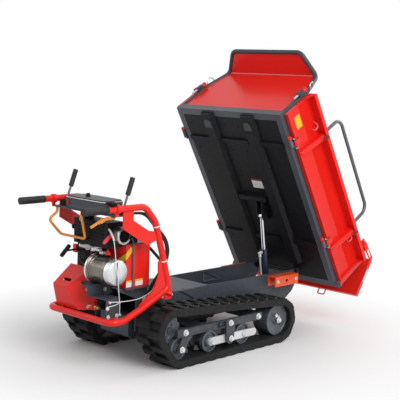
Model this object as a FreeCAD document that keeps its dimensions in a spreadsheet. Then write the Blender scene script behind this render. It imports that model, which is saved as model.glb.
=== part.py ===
import FreeCAD, Part

import math
import os
import re

from FreeCAD import Placement, Rotation, Vector

# A walk-behind crawler carrier with a tipping drop-side bed, in millimetres.
# X runs forward to the tipping end, Y to the machine's left, Z up, and the
# floor under the track lugs is Z = 0. The bed is modelled level and then
# turned about its hinge into the raised pose that it is shown in.

doc = FreeCAD.newDocument("CrawlerCarrier")

# Driving sizes and places
# name, value, what it is
SIZES = [
    ("datum_x", -196, "from the drawing's zero to the middle of the machine"),
    ("bed_hinge_x", 872, "bed hinge, forward of the origin"),
    ("bed_hinge_z", 335, "bed hinge above the floor"),
    ("bed_tilt", 60, "tipping angle of the raised bed, degrees"),
    ("bed_length", 1200, "bed from tail edge to head edge"),
    ("bed_width", 800, "bed over its edge rails"),
    ("hinge_from_tail", 108, "bed hinge forward of the tail edge"),
    ("hinge_drop", 42, "bed hinge below the bed's underside"),
    ("floor_sheet", 4, "thickness of the bed's floor sheet"),
    ("floor_lift", 3, "floor sheet above the rails' underside"),
    ("edge_rail_high", 45, "height of the bed's edge rails"),
    ("edge_rail_wide", 40, "width of the bed's edge rails"),
    ("hat_inner", 106, "inner side of a hat rib from the middle"),
    ("hat_outer", 201, "outer side of a hat rib from the middle"),
    ("hat_deep", 26, "depth of a hat rib"),
    ("hat_stop", 150, "hat ribs end ahead of the tail edge"),
    ("hat_slope", 16, "how far a hat rib's sides lean in"),
    ("cross_rib_deep", 12, "depth of the cross ribs"),
    ("cross_rib_wide", 30, "width of the cross ribs"),
    ("side_hinge_rear", 310, "first side hinge from the tail"),
    ("side_hinge_front", 1000, "second side hinge from the tail"),
    ("crossbeam_from_tail", 600, "lift crossbeam from the tail"),
    ("crossbeam_long", 30, "lift crossbeam along the bed"),
    ("eye_from_tail", 500, "cylinder eye from the tail"),
    ("eye_drop", 42, "cylinder eye below the bed's underside"),
    ("eye_radius", 17, "outer radius of the cylinder's eyes"),
    ("eye_wide", 30, "width of the cylinder's upper eye"),
    ("lift_pin_radius", 9, "radius of the cylinder's pins"),
    ("ear_sheet", 8, "thickness of ears and lugs"),
    ("ear_gap", 1, "side gap between the eye and its ears"),
    ("pin_play", 0.05, "radial play of a pin in its bore"),
    ("cylinder_y", -40, "cylinder from the middle plane"),
    ("lift_set_back", 122, "cylinder's lower pin behind the bed hinge"),
    ("lift_base_z", 200, "cylinder's lower pin above the floor"),
    ("barrel_radius", 20, "lift barrel"),
    ("barrel_long", 272, "lift barrel beyond its lower pin"),
    ("barrel_bore", 12.3, "hollow of the lift barrel"),
    ("gland_radius", 23, "collar at the barrel's mouth"),
    ("gland_long", 34, "collar at the barrel's mouth, length"),
    ("rod_radius", 12, "lift rod"),
    ("rod_long", 250, "lift rod below its eye's centre"),
    ("wall_top", 262, "top of the side panels above the underside"),
    ("wall_foot", 30, "foot of the side panels above the underside"),
    ("panel_tail", 30, "side panel's tail end from the tail edge"),
    ("panel_gap", 6, "clearance between bed pieces that move"),
    ("panel_sheet", 4, "sheet of the side panels and tailgate"),
    ("panel_flange", 22, "depth of the side panels' edge flanges"),
    ("lip_out", 64, "reach of the side panels' top lip"),
    ("lip_turn", 24, "height of the lip's turned-down edge"),
    ("stake_round", 12, "radius of the stakes' rounded edge"),
    ("stake_wide", 34, "width of the stakes"),
    ("stake_rear", 255, "first stake from the tail"),
    ("stake_front", 920, "second stake from the tail"),
    ("rail_tube", 10, "radius of the load rails' tube"),
    ("rail_rise", 150, "load rail above the side panel"),
    ("rail_rear", 300, "load rail's rear foot from the tail"),
    ("rail_front", 940, "load rail's front foot from the tail"),
    ("rail_bend", 55, "bend of the load rail's corners"),
    ("rail_inset", 20, "load rail inward of the lip's edge"),
    ("hinge_pin_radius", 6, "pins of the side panels"),
    ("hinge_eye_radius", 11, "eyes of the side panels' hinges"),
    ("hinge_rise", 34, "side panel hinge above the underside"),
    ("hinge_out", 14, "side panel hinge outside the edge rail"),
    ("hinge_eye_long", 30, "length of a side hinge's eye"),
    ("post_deep", 22, "tail posts along the bed"),
    ("post_wide", 26, "tail posts across the bed"),
    ("post_top", 345, "top of the tail posts' brackets"),
    ("arm_gap", 5, "gap between a tail post and the tailgate's arm"),
    ("gate_pin_from_tail", 95, "tailgate pin forward of the tail edge"),
    ("gate_pin_rise", 322, "tailgate pin above the underside"),
    ("gate_pin_radius", 8, "tailgate pins"),
    ("gate_boss_radius", 18, "eyes round the tailgate pins"),
    ("gate_overlap", 2, "tailgate over its two arms"),
    ("gate_foot", 24, "tailgate's foot above the underside, closed"),
    ("gate_gap", 10, "closed tailgate behind the tail edge"),
    ("gate_depth", 24, "depth of the tailgate's folded edges"),
    ("gate_arm_sheet", 8, "thickness of the tailgate's arms"),
    ("head_tube", 13.5, "radius of the headboard's tube"),
    ("head_straight", 285, "headboard's straight height"),
    ("head_crease", 453, "headboard's crease above the underside"),
    ("head_crease_width", 699, "headboard's width at the crease"),
    ("visor_long", 163, "headboard's visor from the crease"),
    ("visor_width", 549, "visor's width at its rear edge"),
    ("visor_bend", 86, "visor's bend from the headboard, degrees"),
    ("head_sheet", 4, "headboard sheet"),
    ("plate_y", 159, "outer face of the chassis plates"),
    ("plate_sheet", 6, "thickness of the chassis plates"),
    ("plate_top", 346, "top of the chassis plates"),
    ("plate_foot", 170, "foot of the chassis plates"),
    ("plate_rear_x", -452, "rear end of the chassis plates"),
    ("plate_nose", 33, "front end of the chassis plates ahead of the hinge"),
    ("pan_sheet", 5, "sheet of the chassis pan and deck"),
    ("deck_rear_x", -372, "rear end of the closed deck"),
    ("deck_front_x", 100, "front end of the closed deck"),
    ("hinge_shaft_radius", 12, "bed hinge shaft"),
    ("bracket_rear_x", 612, "side bracket's rear end"),
    ("bracket_front_x", 828, "side bracket's front end"),
    ("bracket_foot", 274, "side bracket's foot"),
    ("bracket_top", 334, "side bracket's top"),
    ("bracket_wide", 60, "side bracket's width"),
    ("bracket_sheet", 6, "side bracket's sheet"),
    ("track_outer_y", 389, "outer face of a track"),
    ("track_wide", 180, "width of a track"),
    ("belt", 22, "thickness of the track belt"),
    ("lug_high", 20, "height of the track lugs"),
    ("lug_count", 30, "lugs in one row of a track"),
    ("lug_long", 40, "lug along the track"),
    ("lug_wide", 92, "lug across the track"),
    ("band_wide", 14, "smooth band along a track's outer edge"),
    ("band_step", 4, "band below the lugs' tops"),
    ("lug_seat", 4, "how deep a lug is rooted in the belt"),
    ("sprocket_x", -378, "sprocket centre"),
    ("sprocket_z", 200, "sprocket centre above the floor"),
    ("sprocket_radius", 80, "track's inner radius on the sprocket"),
    ("idler_x", 468, "idler centre"),
    ("idler_z", 130, "idler centre above the floor"),
    ("idler_radius", 88, "track's inner radius on the idler"),
    ("roller_z", 100, "roller centres above the floor"),
    ("roller_radius", 58, "track rollers"),
    ("roller_rear_x", -330, "rear roller"),
    ("roller_mid_x", -95, "middle roller"),
    ("roller_front_x", 170, "front roller"),
    ("wheel_gap", 0.3, "gap between the track and its wheels"),
    ("roller_wide", 110, "width of the rollers"),
    ("roller_rim", 22, "width of a roller's two rims"),
    ("roller_hub", 27, "radius of a roller between its rims"),
    ("idler_hub", 26, "radius of an idler's hub"),
    ("idler_dish", 8, "how deep an idler's disc is dished"),
    ("idler_wide", 104, "width of the idler"),
    ("sprocket_hub", 46, "radius of a sprocket's hub"),
    ("tooth_count", 12, "teeth of a sprocket"),
    ("tooth_gap", 11, "radius of the gaps between sprocket teeth"),
    ("roller_cup", 12, "depth of a roller's open faces"),
    ("sprocket_wide", 50, "width of the sprocket"),
    ("wheel_y", 305, "middle plane of the track wheels"),
    ("axle_radius", 12, "axles of the rollers and idler"),
    ("beam_y", 374, "middle of a track frame's beam"),
    ("beam_wide", 18, "width of a track frame's beam"),
    ("beam_foot", 165, "foot of a track frame's beam"),
    ("beam_top", 205, "top of a track frame's beam"),
    ("beam_rear_x", -362, "rear end of a track frame's beam"),
    ("beam_front_x", 304, "front end of a track frame's beam"),
    ("arm_wide", 46, "width of a roller arm"),
    ("hanger_sheet", 6, "thickness of the rocker hangers"),
    ("arm_sheet", 9, "thickness of the arms and rockers"),
    ("stub_radius", 22, "cross tubes that carry the track frames"),
    ("stub_rear_x", -142, "rear cross tube"),
    ("stub_front_x", 258, "front cross tube"),
    ("stub_z", 186, "cross tubes above the floor"),
    ("rocker_high", 42, "height of a rocker beam"),
    ("drive_axle_radius", 20, "drive axle"),
    ("case_radius", 34, "axle housing"),
    ("tube_radius", 17, "handle frame tube"),
    ("tube_y", 249, "handle frame tubes from the middle plane"),
    ("grip_end_x", -890, "rear end of the grips"),
    ("grip_long", 150, "length of the grips"),
    ("grip_radius", 19, "grips"),
    ("handle_z", 840, "handles above the floor"),
    ("bumper_x", -700, "rear bumper"),
    ("bumper_z", 268, "rear bumper above the floor"),
    ("bumper_bend", 50, "bend of the bumper's corners"),
    ("frame_sheet", 6, "plates of the handle frame"),
    ("console_rear_x", -684, "console's rear face"),
    ("console_front_x", -540, "console's front face"),
    ("console_half", 160, "half the console's width"),
    ("console_drop", 34, "console's foot below the handles"),
    ("console_high", 62, "height of the console"),
    ("console_round", 36, "round of the console's corners"),
    ("console_wall", 6, "console's wall"),
    ("base_foot", 405, "engine base's foot"),
    ("base_top", 430, "engine base's top"),
    ("base_rear_x", -648, "engine base's rear end"),
    ("base_front_x", -536, "engine base's front end"),
    ("base_half", 188, "half the engine base's width"),
    ("cover_sheet", 4, "sheet of the engine covers"),
    ("engine_rear_x", -592, "engine's rear face"),
    ("engine_front_x", -400, "engine's front face"),
    ("engine_far_y", 150, "engine's far side"),
    ("engine_top", 625, "engine's top"),
    ("box_rear_x", -533, "red box's rear face"),
    ("box_front_x", -368, "red box's front face"),
    ("rail_near_y", -60, "engine rail's inner face"),
    ("rail_rear_x", -700, "engine rail's rear end"),
    ("rail_high", 59, "engine rail's height"),
    ("cover_near_y", -16, "rear cover's near wall"),
    ("cover_far_y", 200, "rear cover's far edge"),
    ("drum_x", -606, "drum centre"),
    ("drum_z", 503, "drum centre above the floor"),
    ("drum_radius", 68, "drum"),
    ("drum_end_y", -190, "drum's outer end"),
    ("drum_flange_radius", 80, "drum's flange"),
    ("bail_radius", 7, "clutch bail's rod"),
    ("bail_far_y", 211, "clutch bail's left side"),
    ("bail_near_y", 11, "clutch bail's right side"),
    ("lever_y", 222, "drive levers and hand lever from the middle"),
    ("lever_high", 182, "drive levers above the console's foot"),
    ("lever_lean", 68, "drive levers' lean ahead"),
    ("lever_grip_long", 92, "length of a lever's grip"),
    ("lever_radius", 6, "lever rods"),
    ("loop_wire_radius", 4, "wire of the tailgate's rope loops"),
    ("loop_wide", 50, "width of a rope loop"),
    ("loop_long", 36, "reach of a rope loop below the tailgate"),
    ("lever_grip_radius", 13, "lever grips"),
]

sheet = doc.addObject("Spreadsheet::Sheet", "Sizes")
for row, (alias, value, meaning) in enumerate(SIZES, 1):
    sheet.set("A%d" % row, meaning)
    sheet.set("B%d" % row, str(value))
    sheet.setAlias("B%d" % row, alias)
doc.recompute()


class Values:
    """The sheet's numbers, for the shapes that are made without expressions."""


v = Values()
for alias, value, meaning in SIZES:
    setattr(v, alias, float(sheet.get(alias)))
ALIASES = {alias for alias, value, meaning in SIZES}

# Places and sizes that follow from others
# name, sum of sheet names
SUMS = {
    "plate_front_x": "bed_hinge_x + plate_nose",
    "lift_base_x": "bed_hinge_x - lift_set_back",
    "gate_width": "bed_width + gate_overlap + post_wide + post_wide + arm_gap + arm_gap + gate_arm_sheet + gate_arm_sheet",
    "console_foot": "handle_z - console_drop",
    "console_top": "handle_z - console_drop + console_high",
}
for name, text in SUMS.items():
    terms = re.findall(r"([+-]?)\s*(\w+)", text)
    setattr(v, name, sum(-getattr(v, term) if sign == "-" else getattr(v, term) for sign, term in terms))


def bind(thing, prop, text):
    """Bind a property to sheet arithmetic written with the plain names."""
    spelt = re.sub(r"[a-z_]\w*", lambda m: "(" + SUMS[m[0]] + ")" if m[0] in SUMS else m[0], text)
    named = re.sub(r"[a-z_]\w*", lambda m: "Sizes." + m[0] if m[0] in ALIASES else m[0], spelt)
    thing.setExpression(prop, named)


def block(name, xs, ys, zs):
    """A box between two places along each axis."""
    box = doc.addObject("Part::Box", name)
    spans = (("x", "Length", xs), ("y", "Width", ys), ("z", "Height", zs))
    for axis, length, (low, high) in spans:
        bind(box, "Placement.Base." + axis, low)
        bind(box, length, "(%s) - (%s)" % (high, low))
    return box


TURNS = {
    "x": Rotation(Vector(0, 1, 0), 90),
    "y": Rotation(Vector(1, 0, 0), -90),
    "z": Rotation(),
}


def rod(name, axis, centre, low, high, radius):
    """A cylinder along an axis, with its other two places in X, Y, Z order."""
    bar = doc.addObject("Part::Cylinder", name)
    bar.Placement = Placement(Vector(), TURNS[axis])
    others = [letter for letter in "xyz" if letter != axis]
    for letter, text in zip(others, centre):
        bind(bar, "Placement.Base." + letter, text)
    bind(bar, "Placement.Base." + axis, low)
    bind(bar, "Height", "(%s) - (%s)" % (high, low))
    bind(bar, "Radius", radius)
    return bar


PLANES = {
    "y": ("XZ_Plane", -1, True),
    "x": ("YZ_Plane", 1, False),
    "z": ("XY_Plane", 1, False),
}


def outline(sketch, corners):
    """A closed polygon whose corners sit at sheet arithmetic."""
    count = len(corners)
    for number in range(count):
        here = 2 * math.pi * number / count
        there = 2 * math.pi * (number + 1) / count
        start = Vector(math.cos(here), math.sin(here), 0)
        end = Vector(math.cos(there), math.sin(there), 0)
        sketch.addGeometry(Part.LineSegment(start, end), False)
    for number in range(count):
        follower = (number + 1) % count
        sketch.addConstraint(Sketcher.Constraint("Coincident", number, 2, follower, 1))
    for number, (across, up) in enumerate(corners):
        for kind, text in (("DistanceX", across), ("DistanceY", up)):
            place = sketch.addConstraint(Sketcher.Constraint(kind, -1, 1, number, 1, 1.0))
            bind(sketch, "Constraints[%d]" % place, text)


def plate(name, axis, corners, low, high):
    """A body padded along an axis from a polygon in the plane across it."""
    role, side, back = PLANES[axis]
    body = doc.addObject("PartDesign::Body", name)
    plane = [item for item in body.Origin.OriginFeatures if item.Role == role][0]
    sketch = body.newObject("Sketcher::SketchObject", name + "Sketch")
    sketch.AttachmentSupport = [(plane, "")]
    sketch.MapMode = "FlatFace"
    bind(sketch, "AttachmentOffset.Base.z", "%d * (%s)" % (side, low))
    outline(sketch, corners)
    pad = body.newObject("PartDesign::Pad", name + "Pad")
    pad.Profile = sketch
    pad.Reversed = back
    bind(pad, "Length", "(%s) - (%s)" % (high, low))
    body.Tip = pad
    return body


def turned(name, centre, corners):
    """A body turned about a line along Y, from corners given as radius and Y."""
    body = doc.addObject("PartDesign::Body", name)
    plane = [item for item in body.Origin.OriginFeatures if item.Role == "XY_Plane"][0]
    sketch = body.newObject("Sketcher::SketchObject", name + "Sketch")
    sketch.AttachmentSupport = [(plane, "")]
    sketch.MapMode = "FlatFace"
    outline(sketch, corners)
    turn = body.newObject("PartDesign::Revolution", name + "Turn")
    turn.Profile = sketch
    turn.ReferenceAxis = (sketch, ["V_Axis"])
    turn.Angle = 360
    body.Tip = turn
    bind(body, "Placement.Base.x", centre[0])
    bind(body, "Placement.Base.z", centre[1])
    return body


def rounded(low_x, high_x, half_y, radius):
    """Corners of a rounded rectangle about the middle plane, as sheet arithmetic."""
    corners = []
    for x_text, x_sign, y_sign, turns in ((low_x, 1, -1, (90, 60, 30, 0)), (high_x, -1, -1, (0, 30, 60, 90)),
                                          (high_x, -1, 1, (90, 60, 30, 0)), (low_x, 1, 1, (0, 30, 60, 90))):
        for turn in turns:
            inset_x = 1 - math.sin(math.radians(turn))
            inset_y = 1 - math.cos(math.radians(turn))
            corners.append(("%s + %d * %.6f * (%s)" % (x_text, x_sign, inset_x, radius),
                            "%d * (%s - %.6f * (%s))" % (y_sign, half_y, inset_y, radius)))
    return corners


def fuse(name, pieces):
    """Several solids as one object; those that touch become one solid."""
    if len(pieces) == 1:
        whole = doc.addObject("Part::Compound", name)
        whole.Links = pieces
        return whole
    whole = doc.addObject("Part::MultiFuse", name)
    whole.Shapes = pieces
    return whole


def cut(name, base, tools):
    """A solid less its tools."""
    less = doc.addObject("Part::Cut", name)
    less.Base = base
    less.Tool = tools[0] if len(tools) == 1 else fuse(name + "Tools", tools)
    return less


def bent_tube(points, bend, radius):
    """A round bar of straight runs and tangent arcs; bend is one radius or a list."""
    bends = bend if isinstance(bend, list) else [bend] * (len(points) - 2)
    pieces = []
    start = points[0]
    for number in range(1, len(points) - 1):
        corner = points[number]
        into = (corner - points[number - 1]).normalize()
        out = (points[number + 1] - corner).normalize()
        turn = into.getAngle(out)
        reach = bends[number - 1] * math.tan(turn / 2)
        first = corner - into * reach
        axis = into.cross(out).normalize()
        centre = first + axis.cross(into).normalize() * bends[number - 1]
        if (first - start).Length > 0.01:
            pieces.append(Part.makeCylinder(radius, (first - start).Length, start, into))
        ring = Part.Face(Part.Wire(Part.makeCircle(radius, first, into)))
        pieces.append(ring.revolve(centre, axis, math.degrees(turn)))
        start = corner + out * reach
    last = points[-1]
    if (last - start).Length > 0.01:
        pieces.append(Part.makeCylinder(radius, (last - start).Length, start, (last - start).normalize()))
    return pieces[0].multiFuse(pieces[1:]) if len(pieces) > 1 else pieces[0]


def shaped(name, shape):
    """A plain feature for a swept or looped shape."""
    item = doc.addObject("Part::Feature", name)
    item.Shape = shape
    return item


def sides(text):
    """Sheet arithmetic for the right (-Y) and left (+Y) sides."""
    return (("right", "-(%s)" % text), ("left", text))


def heavy_middle(shape):
    """Centre of mass of a shape's solids together."""
    total = sum(solid.Volume for solid in shape.Solids)
    middle = Vector()
    for solid in shape.Solids:
        middle = middle + solid.CenterOfMass * (solid.Volume / total)
    return middle


nodes = []


def node(label, item, pose=None):
    """Make an object a sub-part of the machine, in its final pose."""
    item.Label = label
    datum = Placement(Vector(v.datum_x, 0, 0), Rotation())
    if pose is not None:
        item.Placement = pose.multiply(item.Placement)
    item.Placement = datum.multiply(item.Placement)
    nodes.append(item)
    return item


import Sketcher

# Poses of the moving bodies
hinge = Vector(v.bed_hinge_x, 0, v.bed_hinge_z)
bed_pose = Placement(Vector(), Rotation(Vector(0, 1, 0), v.bed_tilt), hinge)
tail_x = v.bed_hinge_x + v.hinge_from_tail
under_z = v.bed_hinge_z + v.hinge_drop
TAIL = "bed_hinge_x + hinge_from_tail"
UNDER = "bed_hinge_z + hinge_drop"
HEAD = TAIL + " - bed_length"


def back(text):
    """A place measured from the tail edge towards the head, bed level."""
    return "%s - (%s)" % (TAIL, text)


def rise(text):
    """A height above the bed's underside, bed level."""
    return "%s + (%s)" % (UNDER, text)


# Chassis frame: two side plates with a rounded front, a pan, a rear wall,
# cross members and the stubs that carry the track frames
plates = []
for side, y in sides("plate_y"):
    low, high = ("-plate_y", "plate_sheet - plate_y") if side == "right" else ("plate_y - plate_sheet", "plate_y")
    plates.append(plate("ChassisPlate" + side.title(), "y", [
        ("plate_rear_x", "plate_foot"),
        ("plate_front_x - 128", "plate_foot"),
        ("plate_front_x - 59", "plate_foot + 46"),
        ("plate_front_x - 14", "plate_foot + 106"),
        ("plate_front_x", "plate_foot + 150"),
        ("plate_front_x", "plate_top"),
        ("plate_rear_x", "plate_top"),
    ], low, high))
pan = block("ChassisPan", ("sprocket_x + 80", "plate_front_x - 128"),
            ("plate_sheet - plate_y", "plate_y - plate_sheet"), ("plate_foot", "plate_foot + pan_sheet"))
front_wall = plate("ChassisNose", "y", [
    ("plate_front_x - 128", "plate_foot"),
    ("plate_front_x - 59", "plate_foot + 46"),
    ("plate_front_x - 59", "plate_foot + 46 + pan_sheet"),
    ("plate_front_x - 128 - pan_sheet", "plate_foot + pan_sheet"),
    ("plate_front_x - 128 - pan_sheet", "plate_foot"),
], "plate_sheet - plate_y", "plate_y - plate_sheet")
lift_ears = []
for number, low in enumerate(("cylinder_y - eye_wide / 2 - ear_gap - ear_sheet", "cylinder_y + eye_wide / 2 + ear_gap")):
    ear = block("LiftEar%d" % number, ("lift_base_x - 24", "lift_base_x + 24"),
                (low, low + " + ear_sheet"), ("plate_foot + pan_sheet", "lift_base_z + 18"))
    lift_ears.append(ear)
lift_pin = rod("LiftPin", "y", ("lift_base_x", "lift_base_z"),
               "cylinder_y - eye_wide / 2 - ear_gap - ear_sheet - 4",
               "cylinder_y + eye_wide / 2 + ear_gap + ear_sheet + 4", "lift_pin_radius")
stubs = []
for x_name in ("stub_rear_x", "stub_front_x"):
    for side, low, high in (("right", "-beam_y + beam_wide / 2", "-plate_y"), ("left", "plate_y", "beam_y - beam_wide / 2")):
        stubs.append(rod("Stub" + side + x_name.split("_")[1].title(), "y", (x_name, "stub_z"), low, high, "stub_radius"))
frame_whole = fuse("ChassisWhole", plates + [pan, front_wall, lift_pin] + lift_ears + stubs)
bores = []
for side, y in sides("plate_y"):
    low, high = ("-plate_y - 1", "plate_sheet - plate_y + 1") if side == "right" else ("plate_y - plate_sheet - 1", "plate_y + 1")
    bores.append(rod("HingeBore" + side, "y", ("bed_hinge_x", "bed_hinge_z"), low, high, "hinge_shaft_radius + pin_play"))
    bores.append(rod("AxleBore" + side, "y", ("sprocket_x", "sprocket_z"), low, high, "case_radius + 0.5"))
node("chassis_frame", cut("ChassisFrame", frame_whole, bores))

# Closed deck over the rear of the chassis, with the gusset at its front edge
deck = block("DeckSheet", ("deck_rear_x", "deck_front_x"), ("plate_sheet - plate_y", "plate_y - plate_sheet"),
             ("plate_top - pan_sheet", "plate_top"))
apron = plate("DeckApron", "y", [
    ("deck_front_x - pan_sheet", "plate_top - pan_sheet"),
    ("deck_front_x", "plate_top - pan_sheet"),
    ("deck_front_x + 120", "plate_foot + 60"),
    ("deck_front_x + 120 - pan_sheet", "plate_foot + 60"),
], "plate_sheet - plate_y", "plate_y - plate_sheet")
node("deck_cover", fuse("DeckCover", [deck, apron]))

# Side brackets: open channels that tie-down hooks and forks take hold of
brackets = []
for side, y in sides("plate_y"):
    sign = -1 if side == "right" else 1
    inner = "%d * plate_y" % sign
    outer = "%d * (plate_y + bracket_wide)" % sign
    wall = "%d * (plate_y + bracket_wide - bracket_sheet)" % sign
    skin = "%d * (plate_y + bracket_sheet)" % sign
    corners = [(inner, "bracket_foot"), (inner, "bracket_top"), (outer, "bracket_top"), (outer, "bracket_foot"),
               (wall, "bracket_foot"), (wall, "bracket_top - bracket_sheet"), (skin, "bracket_top - bracket_sheet"),
               (skin, "bracket_foot")]
    brackets.append(plate("Bracket" + side, "x", corners, "bracket_rear_x", "bracket_front_x"))
holes = [rod("BracketHole", "y", ("bracket_rear_x + 34", "bracket_top - 26"),
             "-plate_y - bracket_wide - 1", "-plate_y - bracket_wide + bracket_sheet + 1", "5"),
         rod("BracketHoleLeft", "y", ("bracket_rear_x + 34", "bracket_top - 26"),
             "plate_y + bracket_wide - bracket_sheet - 1", "plate_y + bracket_wide + 1", "5")]
node("side_brackets", cut("SideBrackets", fuse("BracketPair", brackets), holes))


# Tracks: a belt stretched over the sprocket, the rear roller and the idler
def track_loop(grow):
    """Centre, radius and end angles of each arc of the loop, counter-clockwise."""
    wheels = [
        (v.idler_x, v.idler_z, v.idler_radius),
        (v.sprocket_x, v.sprocket_z, v.sprocket_radius),
        (v.roller_rear_x, v.roller_z, v.roller_radius),
    ]
    normals = []
    for (ax, az, ar), (bx, bz, br) in zip(wheels, wheels[1:] + wheels[:1]):
        apart = math.hypot(bx - ax, bz - az)
        normals.append(math.atan2(bz - az, bx - ax) - math.acos((ar - br) / apart))
    arcs = []
    for number, (x, z, radius) in enumerate(wheels):
        start = normals[number - 1]
        end = normals[number]
        while end < start:
            end += 2 * math.pi
        arcs.append((x, z, radius + grow, start, end))
    return arcs


def on_arc(arc, angle):
    """A point of the loop."""
    x, z, radius, start, end = arc
    return Vector(x + radius * math.cos(angle), 0, z + radius * math.sin(angle))


def loop_wire(grow):
    """The loop as arcs and straight runs."""
    arcs = track_loop(grow)
    edges = []
    for number, arc in enumerate(arcs):
        start, end = arc[3], arc[4]
        first, last = on_arc(arc, start), on_arc(arc, end)
        edges.append(Part.Arc(first, on_arc(arc, (start + end) / 2), last).toShape())
        following = arcs[(number + 1) % len(arcs)]
        edges.append(Part.LineSegment(last, on_arc(following, following[3])).toShape())
    return Part.Wire(edges)


def loop_places(grow, count, shift):
    """Evenly spaced places along the loop, each a point and its normal's angle."""
    arcs = track_loop(grow)
    runs = []
    for number, arc in enumerate(arcs):
        following = arcs[(number + 1) % len(arcs)]
        runs.append(("arc", arc, arc[2] * (arc[4] - arc[3])))
        start, end = on_arc(arc, arc[4]), on_arc(following, following[3])
        runs.append(("line", (start, end, arc[4]), (end - start).Length))
    total = sum(run[2] for run in runs)
    places = []
    for number in range(count):
        left = total * ((number + shift) % count) / count
        for kind, data, length in runs:
            if left <= length:
                break
            left -= length
        if kind == "arc":
            angle = data[3] + left / data[2]
            places.append((on_arc(data, angle), angle))
        else:
            start, end, angle = data
            places.append((start + (end - start) * (left / length), angle))
    return places


def track_shape(outer_y):
    """Belt and two staggered rows of lugs, between outer_y and the inner face."""
    inner_y = outer_y - math.copysign(v.track_wide, outer_y)
    low = min(inner_y, outer_y)
    face = Part.Face([loop_wire(v.belt), loop_wire(0)])
    belt = face.extrude(Vector(0, v.track_wide, 0))
    belt.translate(Vector(0, low, 0))
    rows = ((low, 0.0), (low + v.track_wide - v.lug_wide, 0.5))
    lugs = []
    for row_y, shift in rows:
        for spot, angle in loop_places(v.belt, int(v.lug_count), shift):
            lug = Part.makeBox(v.lug_long, v.lug_wide, v.lug_high + v.lug_seat,
                               Vector(-v.lug_long / 2, row_y, -v.lug_seat))
            turn = Rotation(Vector(0, 1, 0), 90 - math.degrees(angle))
            lug.Placement = Placement(spot, turn).multiply(lug.Placement)
            lugs.append(lug)
    reach = Part.Face(loop_wire(v.belt + v.lug_high)).extrude(Vector(0, v.track_wide, 0))
    reach.translate(Vector(0, low, 0))
    trimmed = Part.makeCompound(lugs).common(reach)
    band_whole = Part.Face(loop_wire(v.belt + v.lug_high - v.band_step)).extrude(Vector(0, v.band_wide, 0))
    band = band_whole.cut(Part.Face(loop_wire(v.belt / 2)).extrude(Vector(0, v.band_wide, 0)))
    band.translate(Vector(0, outer_y if outer_y < 0 else outer_y - v.band_wide, 0))
    return belt.fuse(trimmed.Solids + [band]).removeSplitter()


for side, sign in (("right", -1), ("left", 1)):
    node("track_" + side, shaped("Track" + side.title(), track_shape(sign * v.track_outer_y)))

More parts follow.
